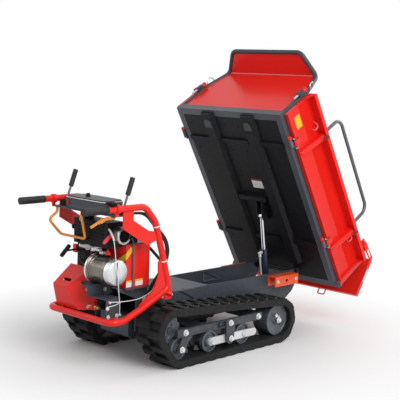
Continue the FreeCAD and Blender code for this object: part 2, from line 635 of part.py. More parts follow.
# Track frames, wheels and rockers, one set for each side
for side, sign in (("right", -1), ("left", 1)):
    tag = side.title()

    def span(low, high):
        """A span in Y given for the left side, turned over for the right."""
        if sign > 0:
            return (low, high)
        return ("-(%s)" % high, "-(%s)" % low)

    beam_y = span("beam_y - beam_wide / 2", "beam_y + beam_wide / 2")
    arm_y = span("beam_y - arm_sheet / 2", "beam_y + arm_sheet / 2")
    hanger_y = span("beam_y + beam_wide / 2 - 1", "beam_y + beam_wide / 2 + hanger_sheet")
    fork_y = span("wheel_y - idler_wide / 2 - 3 - arm_sheet", "wheel_y - idler_wide / 2 - 3")
    rocker_x = "(roller_mid_x + roller_front_x) / 2"
    beam = block("Beam" + tag, ("beam_rear_x", "beam_front_x"), beam_y, ("beam_foot", "beam_top"))
    arm = plate("RollerArm" + tag, "y", [
        ("roller_rear_x - arm_wide / 2", "roller_z"),
        ("roller_rear_x + arm_wide / 2", "roller_z"),
        ("roller_rear_x + 2 * arm_wide", "beam_foot + 5"),
        ("roller_rear_x + 14", "beam_foot + 5"),
    ], *arm_y)
    arm_round = rod("RollerArmRound" + tag, "y", ("roller_rear_x", "roller_z"), *arm_y, "arm_wide / 2")
    hanger = plate("RockerHanger" + tag, "y", [
        (rocker_x + " - 30", "roller_z"),
        (rocker_x + " + 30", "roller_z"),
        (rocker_x + " + 36", "beam_top"),
        (rocker_x + " - 36", "beam_top"),
    ], *hanger_y)
    hanger_round = rod("RockerHangerRound" + tag, "y", (rocker_x, "roller_z"), *hanger_y, "30")
    cross = block("ForkCross" + tag, ("beam_front_x - 20", "beam_front_x"),
                  span("wheel_y - idler_wide / 2 - 3 - arm_sheet", "beam_y"), ("beam_foot", "beam_top"))
    fork = plate("IdlerFork" + tag, "y", [
        ("beam_front_x - 20", "beam_foot"),
        ("idler_x", "idler_z - 18"),
        ("idler_x", "idler_z + 18"),
        ("beam_front_x - 20", "beam_top"),
    ], *fork_y)
    fork_round = rod("IdlerForkRound" + tag, "y", ("idler_x", "idler_z"), *fork_y, "18")
    axles = [
        rod("IdlerAxle" + tag, "y", ("idler_x", "idler_z"),
            *span("wheel_y - idler_wide / 2 - 14", "wheel_y + idler_wide / 2 + 14"), "axle_radius"),
        rod("IdlerNut" + tag, "y", ("idler_x", "idler_z"),
            *span("wheel_y + idler_wide / 2 + 5", "wheel_y + idler_wide / 2 + 12"), "axle_radius + 7"),
        rod("RearAxle" + tag, "y", ("roller_rear_x", "roller_z"),
            *span("wheel_y - roller_wide / 2 - 6", "beam_y + arm_sheet / 2 + 8"), "axle_radius"),
        rod("RockerAxle" + tag, "y", (rocker_x, "roller_z"),
            *span("wheel_y", "beam_y + beam_wide / 2 + hanger_sheet + 6"), "axle_radius"),
    ]
    recess = block("BeamRecess" + tag, ("-66", "2"), span("beam_y - beam_wide / 2 + 4", "beam_y + beam_wide / 2 + 1"),
                   ("beam_foot + 5", "beam_top - 5"))
    bolt = rod("BeamBolt" + tag, "y", ("-32", "(beam_foot + beam_top) / 2"),
               *span("beam_y - beam_wide / 2 + 3", "beam_y + 4"), "9")
    open_beam = cut("OpenBeam" + tag, beam, [recess])
    node("track_frame_" + side, fuse("TrackFrame" + tag, [open_beam, bolt, arm, arm_round, hanger, hanger_round, cross,
                                                          fork, fork_round] + axles))

    rocker_y = span("wheel_y + roller_wide / 2 + 1", "beam_y - beam_wide / 2 + 7")
    rocker = block("RockerBeam" + tag, ("roller_mid_x", "roller_front_x + 80"),
                   rocker_y, ("roller_z - rocker_high / 2", "roller_z + rocker_high / 2"))
    rounds = [rod("RockerRound%d" % number + tag, "y", (x_text, "roller_z"), *rocker_y, "rocker_high / 2")
              for number, x_text in enumerate(("roller_mid_x", "roller_front_x + 80"))]
    pins = [rod("RockerPin%d" % number + tag, "y", (x_name, "roller_z"),
                *span("wheel_y - roller_wide / 2 - 6", "beam_y - beam_wide / 2 + 12"), "axle_radius")
            for number, x_name in enumerate(("roller_mid_x", "roller_front_x"))]
    hub_hole = rod("RockerHole" + tag, "y", (rocker_x, "roller_z"),
                   *span("wheel_y", "beam_y + 30"), "axle_radius + pin_play")
    node("rocker_" + side, cut("Rocker" + tag, fuse("RockerWhole" + tag, [rocker] + rounds + pins), [hub_hole]))

    def profile(half, corners):
        """Radius and Y corners given as a radius, a face of the wheel and a step in from it."""
        listed = []
        for radius, face, step in corners:
            place = "wheel_y %s %s %s (%s)" % (face, half, "-" if face == "+" else "+", step)
            listed.append((radius, place if sign > 0 else "-(%s)" % place))
        return listed

    bore = "axle_radius + pin_play"
    roller_rows = [
        (bore, "-", "0"), ("roller_hub", "-", "0"), ("roller_hub + 4", "-", "roller_cup"),
        ("roller_radius - 12", "-", "roller_cup"), ("roller_radius - 9", "-", "0"), ("roller_radius - wheel_gap", "-", "0"),
        ("roller_radius - wheel_gap", "-", "roller_rim"), ("roller_hub + 2", "-", "roller_rim + 6"),
        ("roller_hub + 2", "+", "roller_rim + 6"), ("roller_radius - wheel_gap", "+", "roller_rim"),
        ("roller_radius - wheel_gap", "+", "0"), ("roller_radius - 9", "+", "0"), ("roller_radius - 12", "+", "roller_cup"),
        ("roller_hub + 4", "+", "roller_cup"), ("roller_hub", "+", "0"), (bore, "+", "0"),
    ]
    wheels = [turned("Roller%d" % number + tag, (x_name, "roller_z"), profile("roller_wide / 2", roller_rows))
              for number, x_name in enumerate(("roller_rear_x", "roller_mid_x", "roller_front_x"))]
    node("rollers_" + side, fuse("Rollers" + tag, wheels))

    idler_rows = [
        (bore, "-", "0"), ("idler_hub", "-", "0"), ("idler_hub + 6", "-", "2 * idler_dish"),
        ("idler_radius - 18", "-", "2 * idler_dish"), ("idler_radius - 14", "-", "0"), ("idler_radius - wheel_gap", "-", "0"),
        ("idler_radius - wheel_gap", "+", "0"), ("idler_radius - 8", "+", "0"), ("idler_radius - 11", "+", "idler_dish / 2"),
        ("idler_hub + 6", "+", "idler_dish"), ("idler_hub", "+", "-4"), (bore, "+", "-4"),
    ]
    node("idler_" + side, fuse("Idler" + tag, [turned("IdlerWheel" + tag, ("idler_x", "idler_z"),
                                                      profile("idler_wide / 2", idler_rows))]))

    drive_bore = "drive_axle_radius + pin_play"
    sprocket_rows = [
        (drive_bore, "-", "-8"), ("sprocket_hub", "-", "-8"), ("sprocket_hub", "-", "0"), ("sprocket_radius - wheel_gap", "-", "0"),
        ("sprocket_radius - wheel_gap", "+", "0"), ("sprocket_hub", "+", "0"), ("sprocket_hub", "+", "-8"), (drive_bore, "+", "-8"),
    ]
    sprocket_disc = turned("SprocketDisc" + tag, ("sprocket_x", "sprocket_z"), profile("sprocket_wide / 2", sprocket_rows))
    tooth_gaps = []
    for number in range(int(v.tooth_count)):
        spoke = "(%d * 360 / tooth_count)" % number
        tooth_gaps.append(rod("ToothGap%d" % number + tag, "y", (
            "sprocket_x + (sprocket_radius + 2) * cos%s" % spoke, "sprocket_z + (sprocket_radius + 2) * sin%s" % spoke,
        ), *span("wheel_y - sprocket_wide", "wheel_y + sprocket_wide"), "tooth_gap"))
    node("sprocket_" + side, cut("Sprocket" + tag, sprocket_disc, tooth_gaps))

# Gear case between the sprockets, with its axle housings and drive axle
case = plate("GearCase", "y", [
    ("sprocket_x - 78", "sprocket_z - 62"),
    ("sprocket_x - 40", "sprocket_z - 84"),
    ("sprocket_x + 40", "sprocket_z - 84"),
    ("sprocket_x + 70", "sprocket_z - 31"),
    ("sprocket_x + 70", "sprocket_z + 40"),
    ("sprocket_x - 78", "sprocket_z + 40"),
], "-110", "110")
housing = rod("AxleHousing", "y", ("sprocket_x", "sprocket_z"), "-plate_y - 60", "plate_y + 60", "case_radius")
drive_axle = rod("DriveAxle", "y", ("sprocket_x", "sprocket_z"), "-wheel_y - sprocket_wide / 2 - 14",
                 "wheel_y + sprocket_wide / 2 + 14", "drive_axle_radius")
node("gear_case", fuse("GearCaseWhole", [case, housing, drive_axle]))

# Engine base: a rail and a tray on legs from the chassis, with the plates
# that take the handle frame
base_parts = [
    block("BaseTop", ("base_rear_x", "base_front_x"), ("rail_near_y", "base_half"), ("base_top - pan_sheet", "base_top")),
    block("BaseTrayRear", ("base_rear_x", "base_front_x"), ("rail_near_y", "base_half"), ("base_foot", "base_foot + pan_sheet")),
    block("BaseTrayFront", ("base_front_x - 9", "box_front_x"), ("-base_half", "base_half"), ("base_foot", "base_foot + pan_sheet")),
    block("BasePedestal", ("base_front_x", "engine_front_x"), ("-16", "engine_far_y"), ("base_foot + pan_sheet", "base_top")),
    block("EngineRailWeb", ("rail_rear_x", "box_rear_x - 1"), ("rail_near_y - frame_sheet", "rail_near_y"), ("base_top - rail_high", "base_top")),
    block("EngineRailTop", ("rail_rear_x", "base_rear_x"), ("rail_near_y", "cover_near_y - 1"), ("base_top - frame_sheet", "base_top")),
    block("BaseSkirt", ("base_rear_x", "base_front_x"), ("base_half - pan_sheet", "base_half"), ("base_foot + pan_sheet", "base_top - pan_sheet")),
    block("BaseSideLeft", ("base_rear_x + 46", "base_front_x + 36"), ("base_half - pan_sheet", "base_half"), ("bumper_z + 20", "base_foot")),
    block("BasePlate", ("rail_rear_x + 20", "base_rear_x + 60"), ("-base_half", "pan_sheet - base_half"), ("bumper_z - 6", "base_top - rail_high + pan_sheet")),
    block("BaseShelf", ("rail_rear_x + 20", "base_rear_x + 60"), ("pan_sheet - base_half", "rail_near_y"), ("base_top - rail_high", "base_top - rail_high + pan_sheet")),
]
for side, sign in (("Right", -1), ("Left", 1)):
    low, high = ("-plate_y", "plate_sheet - plate_y") if sign < 0 else ("plate_y - plate_sheet", "plate_y")
    base_parts.append(plate("BaseLeg" + side, "y", [
        ("plate_rear_x", "plate_top"),
        ("plate_rear_x + 70", "plate_top"),
        ("box_front_x", "base_foot"),
        ("base_rear_x + 56", "base_foot"),
    ], low, high))
node("engine_base", fuse("EngineBase", base_parts))

# Engine, fuel box, exhaust canister and the silver drum
crankcase = block("Crankcase", ("engine_rear_x", "engine_front_x"), ("-16", "engine_far_y"), ("base_top", "base_top + 120"))
head_block = block("EngineHead", ("engine_rear_x", "engine_front_x - 40"), ("-16", "engine_far_y"), ("base_top + 120", "engine_top"))
node("engine_block", fuse("EngineBlock", [crankcase, head_block]))
fuel_tank = block("FuelTank", ("engine_rear_x - 50", "engine_rear_x + 52"), ("-142", "121"), ("engine_top", "engine_top + 130"))
fuel_cap = rod("FuelCap", "z", ("engine_rear_x", "60"), "engine_top + 130", "engine_top + 148", "26")
node("fuel_box", fuse("FuelBox", [fuel_tank, fuel_cap]))
drum = turned("DrumBody", ("drum_x", "drum_z"), [
    ("0", "-16"), ("drum_flange_radius", "-16"), ("drum_flange_radius", "-30"), ("drum_radius + 4", "-34"),
    ("drum_radius + 4", "-44"), ("drum_radius", "-46"), ("drum_radius", "drum_end_y + 66"),
    ("drum_radius - 2", "drum_end_y + 64"), ("drum_radius", "drum_end_y + 62"), ("drum_radius", "drum_end_y + 10"),
    ("drum_radius - 4", "drum_end_y + 3"), ("drum_radius - 10", "drum_end_y"), ("0", "drum_end_y"),
])
drum_floor = block("DrumFloor", ("drum_x - 100", "drum_x + 100"), ("rail_near_y - frame_sheet - 1", "0"), ("base_top - 60", "base_top"))
node("engine_drum", cut("EngineDrum", drum, [drum_floor]))
canister = turned("Canister", ("drum_x + 30", "engine_top + 65"), [
    ("0", "-142"), ("45", "-142"), ("45", "-188"), ("42", "-192"), ("36", "-192"), ("32", "-176"), ("0", "-176"),
])
node("muffler", fuse("Muffler", [canister]))

# Covers: the red box ahead of the drum and the curved hood at the rear
box_shell = block("BoxShell", ("box_rear_x", "box_front_x"), ("-165", "-40"), ("base_foot + pan_sheet", "engine_top + 7"))
box_hollow = block("BoxHollow", ("box_rear_x + cover_sheet", "box_front_x - cover_sheet"),
                   ("-165 + cover_sheet", "-40 - cover_sheet"), ("base_foot", "engine_top + 7 - cover_sheet"))
node("box_cover", cut("BoxCover", box_shell, [box_hollow]))

cover_foot = "bumper_z + tube_radius + 0.3"
cover_outer = plate("RearCoverOuter", "y", [
    ("bumper_x + 16", cover_foot), ("bumper_x - 12", "base_foot - 4"), ("engine_rear_x - 2", "engine_top - 132"),
    ("engine_rear_x - 2", cover_foot),
], "cover_near_y", "cover_far_y")
cover_inner = plate("RearCoverInner", "y", [
    ("bumper_x + 20.3", cover_foot + " - 1"), ("bumper_x - 7.4", "base_foot - 5.5"), ("engine_rear_x - 1", "engine_top - 136.4"),
    ("engine_rear_x - 1", cover_foot + " - 1"),
], "cover_near_y + cover_sheet", "cover_far_y + 1")
facing = Vector(-0.614, -0.748, 0.251)
facing.normalize()
facet_at = Vector(v.bumper_x - 12, 92, v.base_foot - 5)
wedges = []
for number, inset in enumerate((0, v.cover_sheet)):
    wedge = doc.addObject("Part::Box", "CoverWedge%d" % number)
    wedge.Length = 800
    wedge.Width = 800
    wedge.Height = 400
    turn = Rotation(Vector(0, 0, 1), facing)
    wedge.Placement = Placement(facet_at - facing * inset - turn.multVec(Vector(400, 400, 0)), turn)
    wedges.append(wedge)
base_slot = block("RearCoverSlot", ("base_rear_x - 0.3", "base_front_x"), ("rail_near_y", "base_half + 0.3"), ("base_foot - 0.3", "base_top + 0.3"))
vent = block("RearCoverVent", ("bumper_x + 16", "bumper_x + 34"), ("96", "156"), ("base_foot - 10", "engine_top"))
node("rear_cover", cut("RearCover", cut("CoverShellOuter", cover_outer, [wedges[0]]),
                       [cut("CoverShellInner", cover_inner, [wedges[1]]), base_slot, vent]))

# Handle frame: one bent tube a side with its gusset plates, a bumper across
side_route = [
    (-491, v.handle_z), (-415, v.handle_z - 84), (-354, v.handle_z - 270), (-306, v.handle_z - 439),
    (-489, v.handle_z - 523), (-622, v.bumper_z),
]
side_bends = [70, 110, 300, 45, 150, 40]
for side, sign in (("right", -1), ("left", 1)):
    y = sign * v.tube_y
    points = [Vector(v.grip_end_x, y, v.handle_z)]
    points += [Vector(x, y, z) for x, z in side_route]
    points.append(Vector(v.bumper_x + v.bumper_bend, y, v.bumper_z))
    tube = shaped("HandleTube" + side, bent_tube(points, side_bends, v.tube_radius))
    y_low = "%d * tube_y - frame_sheet / 2" % sign
    y_high = "%d * tube_y + frame_sheet / 2" % sign
    gusset = plate("HandleGusset" + side, "y", [
        ("-637", "handle_z"), ("-570", "handle_z"), ("-568", "handle_z - 64"), ("-460", "handle_z - 126"),
        ("-400", "handle_z - 134"), ("-385", "handle_z - 172"), ("-467", "handle_z - 200"), ("-637", "handle_z - 102"),
    ], y_low, y_high)
    heel = plate("HandleHeel" + side, "y", [
        ("-362", "handle_z - 262"), ("-388", "handle_z - 300"), ("-385", "handle_z - 363"), ("-418", "handle_z - 437"),
        ("-517", "handle_z - 507"), ("-500", "handle_z - 523"), ("-335", "handle_z - 448"), ("-312", "handle_z - 420"),
        ("-345", "handle_z - 300"),
    ], y_low, y_high)
    stub = plate("HandleStub" + side, "y", [
        ("-335", "handle_z - 448"), ("-290", "handle_z - 436"), ("-285", "plate_top - 6"), ("-335", "plate_top - 6"),
    ], y_low, y_high)
    foot_y = ("-tube_y", "-plate_y") if sign < 0 else ("plate_y", "tube_y")
    foot = block("HandleFoot" + side, ("-335", "-285"), foot_y, ("plate_top - 6", "plate_top"))
    tie_y = ("-tube_y", "-base_half") if sign < 0 else ("base_half", "tube_y")
    tie_x = ("-650", "-620") if sign < 0 else ("-560", "-530")
    tie_z = ("bumper_z - 6", "bumper_z + 10") if sign < 0 else ("bumper_z + 22", "bumper_z + 38")
    tie = block("HandleTie" + side, tie_x, tie_y, tie_z)
    node("frame_" + side, fuse("FrameTube" + side, [tube, gusset, heel, stub, foot, tie]))

bumper_points = [
    Vector(v.bumper_x + v.bumper_bend, -v.tube_y, v.bumper_z),
    Vector(v.bumper_x, -v.tube_y, v.bumper_z),
    Vector(v.bumper_x, v.tube_y, v.bumper_z),
    Vector(v.bumper_x + v.bumper_bend, v.tube_y, v.bumper_z),
]
node("rear_bumper", shaped("RearBumper", bent_tube(bumper_points, v.bumper_bend - 0.5, v.tube_radius)))

# Grips on the handles and the two drive levers
lever_foot = Vector(v.console_rear_x + 62, v.lever_y, v.console_foot)
lever_top = lever_foot + Vector(v.lever_lean, 0, v.lever_high)
below_bar = Part.makeBox(400, 800, 40, Vector(v.console_rear_x - 100, -400, v.console_foot - 40))
grips = []
levers = []
for side, sign in (("Right", -1), ("Left", 1)):
    y = "%d * tube_y" % sign
    grip = rod("Grip" + side, "x", (y, "handle_z"), "grip_end_x - 3", "grip_end_x + grip_long", "grip_radius")
    core = rod("GripCore" + side, "x", (y, "handle_z"), "grip_end_x", "grip_end_x + grip_long + 1", "tube_radius + pin_play")
    grips.append(cut("GripSleeve" + side, grip, [core]))
    foot = Vector(lever_foot.x, sign * lever_foot.y, lever_foot.z)
    top = Vector(lever_top.x, sign * lever_top.y, lever_top.z)
    along = (top - foot).normalize()
    lever_grip = Part.makeCylinder(v.lever_grip_radius, v.lever_grip_long, top - along * v.lever_grip_long, along)
    stem_long = (top - foot).Length - v.lever_grip_long
    stem = Part.makeCylinder(v.lever_radius, stem_long + 5, foot - along * 5, along).cut(below_bar)
    grips.append(shaped("LeverGrip" + side, lever_grip))
    levers.append(shaped("Lever" + side, stem))
node("grips", fuse("Grips", grips))
node("drive_levers", fuse("DriveLevers", levers))

# Console: an open-bottomed tray on a flat bar between the handle plates
console_bar = block("ConsoleBar", ("console_rear_x - 6", "console_front_x - 20"), ("frame_sheet / 2 - tube_y", "tube_y - frame_sheet / 2"),
                    ("console_foot - frame_sheet", "console_foot"))
tray = plate("Tray", "z", rounded("console_rear_x", "console_front_x", "console_half", "console_round"),
             "console_foot", "console_top - 8")
tray_hollow = plate("TrayHollow", "z", rounded("console_rear_x + console_wall", "console_front_x - console_wall",
                                               "(console_half - console_wall)", "console_round - console_wall"),
                    "console_foot", "console_top - 8 - console_wall")
tray_top = plate("TrayTop", "z", rounded("console_rear_x + 8", "console_front_x - 8", "(console_half - 8)",
                                         "console_round - 8"), "console_top - 9", "console_top")
node("console", fuse("Console", [console_bar, cut("TrayShell", tray, [tray_hollow]), tray_top]))

# Clutch bail, hand lever and starter handle
seat_z = v.console_foot - v.frame_sheet
bail_points = [
    Vector(v.console_rear_x + 1, v.bail_far_y, seat_z), Vector(v.console_rear_x + 1, v.bail_far_y, seat_z - 25),
    Vector(v.console_rear_x - 54, v.bail_far_y, seat_z - 60), Vector(v.console_rear_x + 27, v.bail_far_y, seat_z - 145),
    Vector(v.console_rear_x + 27, v.bail_near_y, seat_z - 145), Vector(v.console_rear_x - 2, v.bail_near_y, seat_z - 25),
    Vector(v.console_rear_x - 2, v.bail_near_y, seat_z),
]
bail_bends = [14, 18, 18, 18, 14]
node("clutch_bail", shaped("ClutchBail", bent_tube(bail_points, bail_bends, v.bail_radius)))
hand_points = [
    Vector(v.console_rear_x + 14, -v.lever_y, seat_z - v.bail_radius), Vector(v.console_rear_x - 58, -v.lever_y, seat_z - v.bail_radius),
    Vector(v.console_rear_x - 137, -v.lever_y, seat_z - v.bail_radius - 34),
]
node("hand_lever", shaped("HandLever", bent_tube(hand_points, 14, v.bail_radius)))
starter_stem = Part.makeCylinder(5, 111, Vector(v.engine_rear_x - 111, 114, v.engine_top - 41), Vector(1, 0, 0))
starter_bar = Part.makeCylinder(11, 84, Vector(v.engine_rear_x - 111, 144, v.engine_top - 71), Vector(0, -1, 1))
node("starter_handle", shaped("StarterHandle", starter_stem.fuse(starter_bar)))

# Hydraulic hoses held behind the right tube
hose_points = [
    Vector(v.box_front_x, -110, 600), Vector(-325, -110, 600), Vector(-325, -205, 540), Vector(-325, -205, 440),
    Vector(-350, -156, 400), Vector(-350, -156, v.plate_top),
]
node("hydraulic_hoses", shaped("Hoses", bent_tube(hose_points, 22, 8)))

# Lift cylinder, modelled upright from its lower pin and leant to the eye
base_pin = Vector(v.lift_base_x, v.cylinder_y, v.lift_base_z)
eye_level = Vector(tail_x - v.eye_from_tail, v.cylinder_y, under_z - v.eye_drop)
eye_raised = bed_pose.multVec(eye_level)
reach = eye_raised - base_pin
lean = math.degrees(math.atan2(reach.x, reach.z))
lift_pose = Placement(base_pin, Rotation(Vector(0, 1, 0), lean))
barrel = rod("Barrel", "z", ("0", "0"), "0", "barrel_long", "barrel_radius")
gland = rod("Gland", "z", ("0", "0"), "barrel_long - gland_long", "barrel_long", "gland_radius")
lower_eye = rod("LowerEye", "y", ("0", "0"), "-eye_wide / 2", "eye_wide / 2", "barrel_radius")
barrel_bore = rod("BarrelBore", "z", ("0", "0"), "46", "barrel_long + 1", "barrel_bore")
lower_bore = rod("LowerBore", "y", ("0", "0"), "-eye_wide", "eye_wide", "lift_pin_radius + pin_play")
eye_sides = [block("EyeSide%d" % number, ("-40", "40"), (low, high), ("-40", "40")) for number, (low, high)
             in enumerate((("-60", "-eye_wide / 2"), ("eye_wide / 2", "60")))]
node("lift_barrel", cut("LiftBarrel", fuse("BarrelWhole", [barrel, gland, lower_eye]), [barrel_bore, lower_bore] + eye_sides), lift_pose)
pipe_high = v.barrel_long - v.gland_long / 2
pipe_points = [
    Vector(-v.gland_radius, 0, pipe_high), Vector(-v.gland_radius - 20, 0, pipe_high), Vector(-v.gland_radius - 14, 0, 60),
    Vector(-v.barrel_radius, 0, 60),
]
node("lift_pipe", shaped("LiftPipe", bent_tube(pipe_points, 8, 5)), lift_pose)

rod_pose = Placement(eye_raised, Rotation(Vector(0, 1, 0), lean))
lift_rod = rod("LiftRodBar", "z", ("0", "0"), "-rod_long", "0", "rod_radius")
upper_eye = rod("UpperEye", "y", ("0", "0"), "-eye_wide / 2", "eye_wide / 2", "eye_radius")
node("lift_rod", fuse("LiftRod", [lift_rod, upper_eye]), rod_pose)

# Bed floor: sheet, hat ribs, cross ribs, lift crossbeam, ears and hinge shaft
floor_parts = [block("FloorSheet", (HEAD + " + edge_rail_wide", back("edge_rail_wide")),
                     ("edge_rail_wide - bed_width / 2", "bed_width / 2 - edge_rail_wide"), (UNDER, rise("floor_sheet")))]
for side, sign in (("Right", -1), ("Left", 1)):
    floor_parts.append(plate("Hat" + side, "x", [
        ("%d * hat_inner" % sign, UNDER),
        ("%d * (hat_inner + hat_slope)" % sign, rise("-hat_deep")),
        ("%d * (hat_outer - hat_slope)" % sign, rise("-hat_deep")),
        ("%d * hat_outer" % sign, UNDER),
    ], HEAD + " + 14", back("hat_stop")))
    low, high = ("-plate_y + plate_sheet + 7", "-plate_y + plate_sheet + 19") if sign < 0 else ("plate_y - plate_sheet - 19", "plate_y - plate_sheet - 7")
    floor_parts.append(plate("HingeEar" + side, "y", [
        (back("hinge_from_tail + 42"), rise("1")),
        (back("hinge_from_tail + 18"), rise("-hinge_drop - 18")),
        (back("hinge_from_tail - 18"), rise("-hinge_drop - 18")),
        (back("hinge_from_tail - 42"), rise("1")),
    ], low, high))
for number, place in enumerate(("side_hinge_rear", "side_hinge_front")):
    for part, (low, high) in enumerate((("edge_rail_wide - bed_width / 2", "-hat_outer + 4"), ("4 - hat_inner", "hat_inner - 4"), ("hat_outer - 4", "bed_width / 2 - edge_rail_wide"))):
        floor_parts.append(block("CrossRib%d%d" % (number, part), (back(place + " + cross_rib_wide / 2"), back(place + " - cross_rib_wide / 2")),
                                 (low, high), (rise("-cross_rib_deep"), UNDER)))
floor_parts.append(block("Crossbeam", (back("crossbeam_from_tail + crossbeam_long"), back("crossbeam_from_tail")),
                         ("3 - hat_inner", "hat_inner - 3"), (rise("-hat_deep - 8"), UNDER)))
for number, low in enumerate(("cylinder_y - eye_wide / 2 - ear_gap - ear_sheet", "cylinder_y + eye_wide / 2 + ear_gap")):
    floor_parts.append(plate("BedEar%d" % number, "y", [
        (back("crossbeam_from_tail + 1"), rise("1")),
        (back("crossbeam_from_tail + 1"), rise("-hat_deep")),
        (back("eye_from_tail + 14"), rise("-eye_drop - 20")),
        (back("eye_from_tail - 18"), rise("-eye_drop - 20")),
        (back("eye_from_tail - 40"), rise("1")),
    ], low, low + " + ear_sheet"))
floor_parts.append(rod("HingeShaft", "y", ("bed_hinge_x", "bed_hinge_z"), "-plate_y - 10", "plate_y + 10", "hinge_shaft_radius"))
node("bed_floor", fuse("BedFloor", floor_parts), bed_pose)

# Bed frame: edge rails all round, side hinge ears, tail posts and their brackets
rails = [
    block("RailRight", (HEAD, TAIL), ("-bed_width / 2", "edge_rail_wide - bed_width / 2"), (UNDER, rise("edge_rail_high"))),
    block("RailLeft", (HEAD, TAIL), ("bed_width / 2 - edge_rail_wide", "bed_width / 2"), (UNDER, rise("edge_rail_high"))),
    block("RailHead", (HEAD, HEAD + " + edge_rail_wide"), ("edge_rail_wide - bed_width / 2", "bed_width / 2 - edge_rail_wide"), (UNDER, rise("edge_rail_high"))),
    block("RailTail", (back("edge_rail_wide"), TAIL), ("edge_rail_wide - bed_width / 2", "bed_width / 2 - edge_rail_wide"), (UNDER, rise("edge_rail_high"))),
]
ear_bores = []
for side, sign in (("Right", -1), ("Left", 1)):
    for number, place in enumerate(("side_hinge_rear", "side_hinge_front")):
        for flank, shift in (("A", "hinge_eye_long / 2 + 1"), ("B", "-hinge_eye_long / 2 - 1 - ear_sheet")):
            xs = (back(place + " - (%s)" % shift), back(place + " - (%s) - ear_sheet" % shift))
            ys = ("-bed_width / 2 - hinge_out - 9", "-bed_width / 2") if sign < 0 else ("bed_width / 2", "bed_width / 2 + hinge_out + 9")
            rails.append(block("HingeLug%s%d%s" % (side, number, flank), xs, ys, (rise("hinge_rise - 9"), rise("hinge_rise + 9"))))
        ear_bores.append(rod("HingeLugBore%s%d" % (side, number), "x", ("%d * (bed_width / 2 + hinge_out)" % sign, rise("hinge_rise")),
                             back(place + " + 40"), back(place + " - 40"), "hinge_pin_radius + pin_play"))
    post_y = ("-bed_width / 2 - post_wide", "-bed_width / 2") if sign < 0 else ("bed_width / 2", "bed_width / 2 + post_wide")
    ear_y = ("-bed_width / 2 - post_wide", "-bed_width / 2 - post_wide + ear_sheet")
    if sign > 0:
        ear_y = ("bed_width / 2 + post_wide - ear_sheet", "bed_width / 2 + post_wide")
    rails.append(block("Post" + side, (back("post_deep"), TAIL), post_y, (UNDER, rise("wall_top"))))
    rails.append(plate("PostBracket" + side, "y", [
        (TAIL, rise("wall_top - 40")),
        (TAIL, rise("wall_top + 14")),
        (back("gate_pin_from_tail - 24"), rise("post_top")),
        (back("gate_pin_from_tail + 24"), rise("post_top")),
        (back("gate_pin_from_tail + 24"), rise("gate_pin_rise - 24")),
        (back("post_deep"), rise("wall_top + 8")),
        (back("post_deep"), rise("wall_top - 40")),
    ], *ear_y))
    boss_y = ("-bed_width / 2 - post_wide - 6", "-bed_width / 2") if sign < 0 else ("bed_width / 2", "bed_width / 2 + post_wide + 6")
    rails.append(rod("PostBoss" + side, "y", (back("post_deep / 2"), rise("22")), *boss_y, "13"))
    bore_y = ("-bed_width / 2 - post_wide - 2", "-bed_width / 2") if sign < 0 else ("bed_width / 2", "bed_width / 2 + post_wide + 2")
    ear_bores.append(rod("GatePinBore" + side, "y", (back("gate_pin_from_tail"), rise("gate_pin_rise")), *bore_y, "gate_pin_radius + pin_play"))
node("bed_frame", cut("BedFrame", fuse("BedFrameWhole", rails), ear_bores), bed_pose)

# Headboard: a bent tube round a red sheet with a creased visor
head_x = tail_x - v.bed_length + v.head_tube
bend_angle = math.radians(v.visor_bend)
crease_z = under_z + v.head_crease
visor_reach = v.visor_long - v.head_tube
half_foot = v.bed_width / 2 - v.head_tube
half_crease = v.head_crease_width / 2 - v.head_tube
half_visor = v.visor_width / 2 - v.head_tube
right_side = [
    Vector(head_x, -half_foot, under_z + v.edge_rail_high),
    Vector(head_x, -half_foot, under_z + v.head_straight),
    Vector(head_x, -half_crease, crease_z),
    Vector(head_x - visor_reach * math.sin(bend_angle), -half_visor, crease_z + visor_reach * math.cos(bend_angle)),
]
left_side = [Vector(spot.x, -spot.y, spot.z) for spot in reversed(right_side)]
head_tube = bent_tube(right_side + left_side, [120, 40, 45, 45, 40, 120], v.head_tube)
node("headboard_frame", shaped("HeadboardFrame", head_tube), bed_pose)

wall_face = Part.Face(Part.makePolygon([
    Vector(head_x, -half_foot, under_z + v.edge_rail_high), Vector(head_x, -half_foot, under_z + v.head_straight),
    Vector(head_x, -half_crease, crease_z), Vector(head_x, half_crease, crease_z),
    Vector(head_x, half_foot, under_z + v.head_straight), Vector(head_x, half_foot, under_z + v.edge_rail_high),
    Vector(head_x, -half_foot, under_z + v.edge_rail_high),
]))
wall_sheet = wall_face.extrude(Vector(-v.head_sheet, 0, 0))
visor_face = Part.Face(Part.makePolygon([right_side[2], right_side[3], left_side[0], left_side[1], right_side[2]]))
visor_sheet = visor_face.extrude(Vector(-v.head_sheet * math.cos(bend_angle), 0, -v.head_sheet * math.sin(bend_angle)))
head_panel = wall_sheet.fuse(visor_sheet).cut(head_tube)
head_panel = max(head_panel.Solids, key=lambda solid: solid.Volume)
node("headboard_panel", shaped("HeadboardPanel", head_panel), bed_pose)

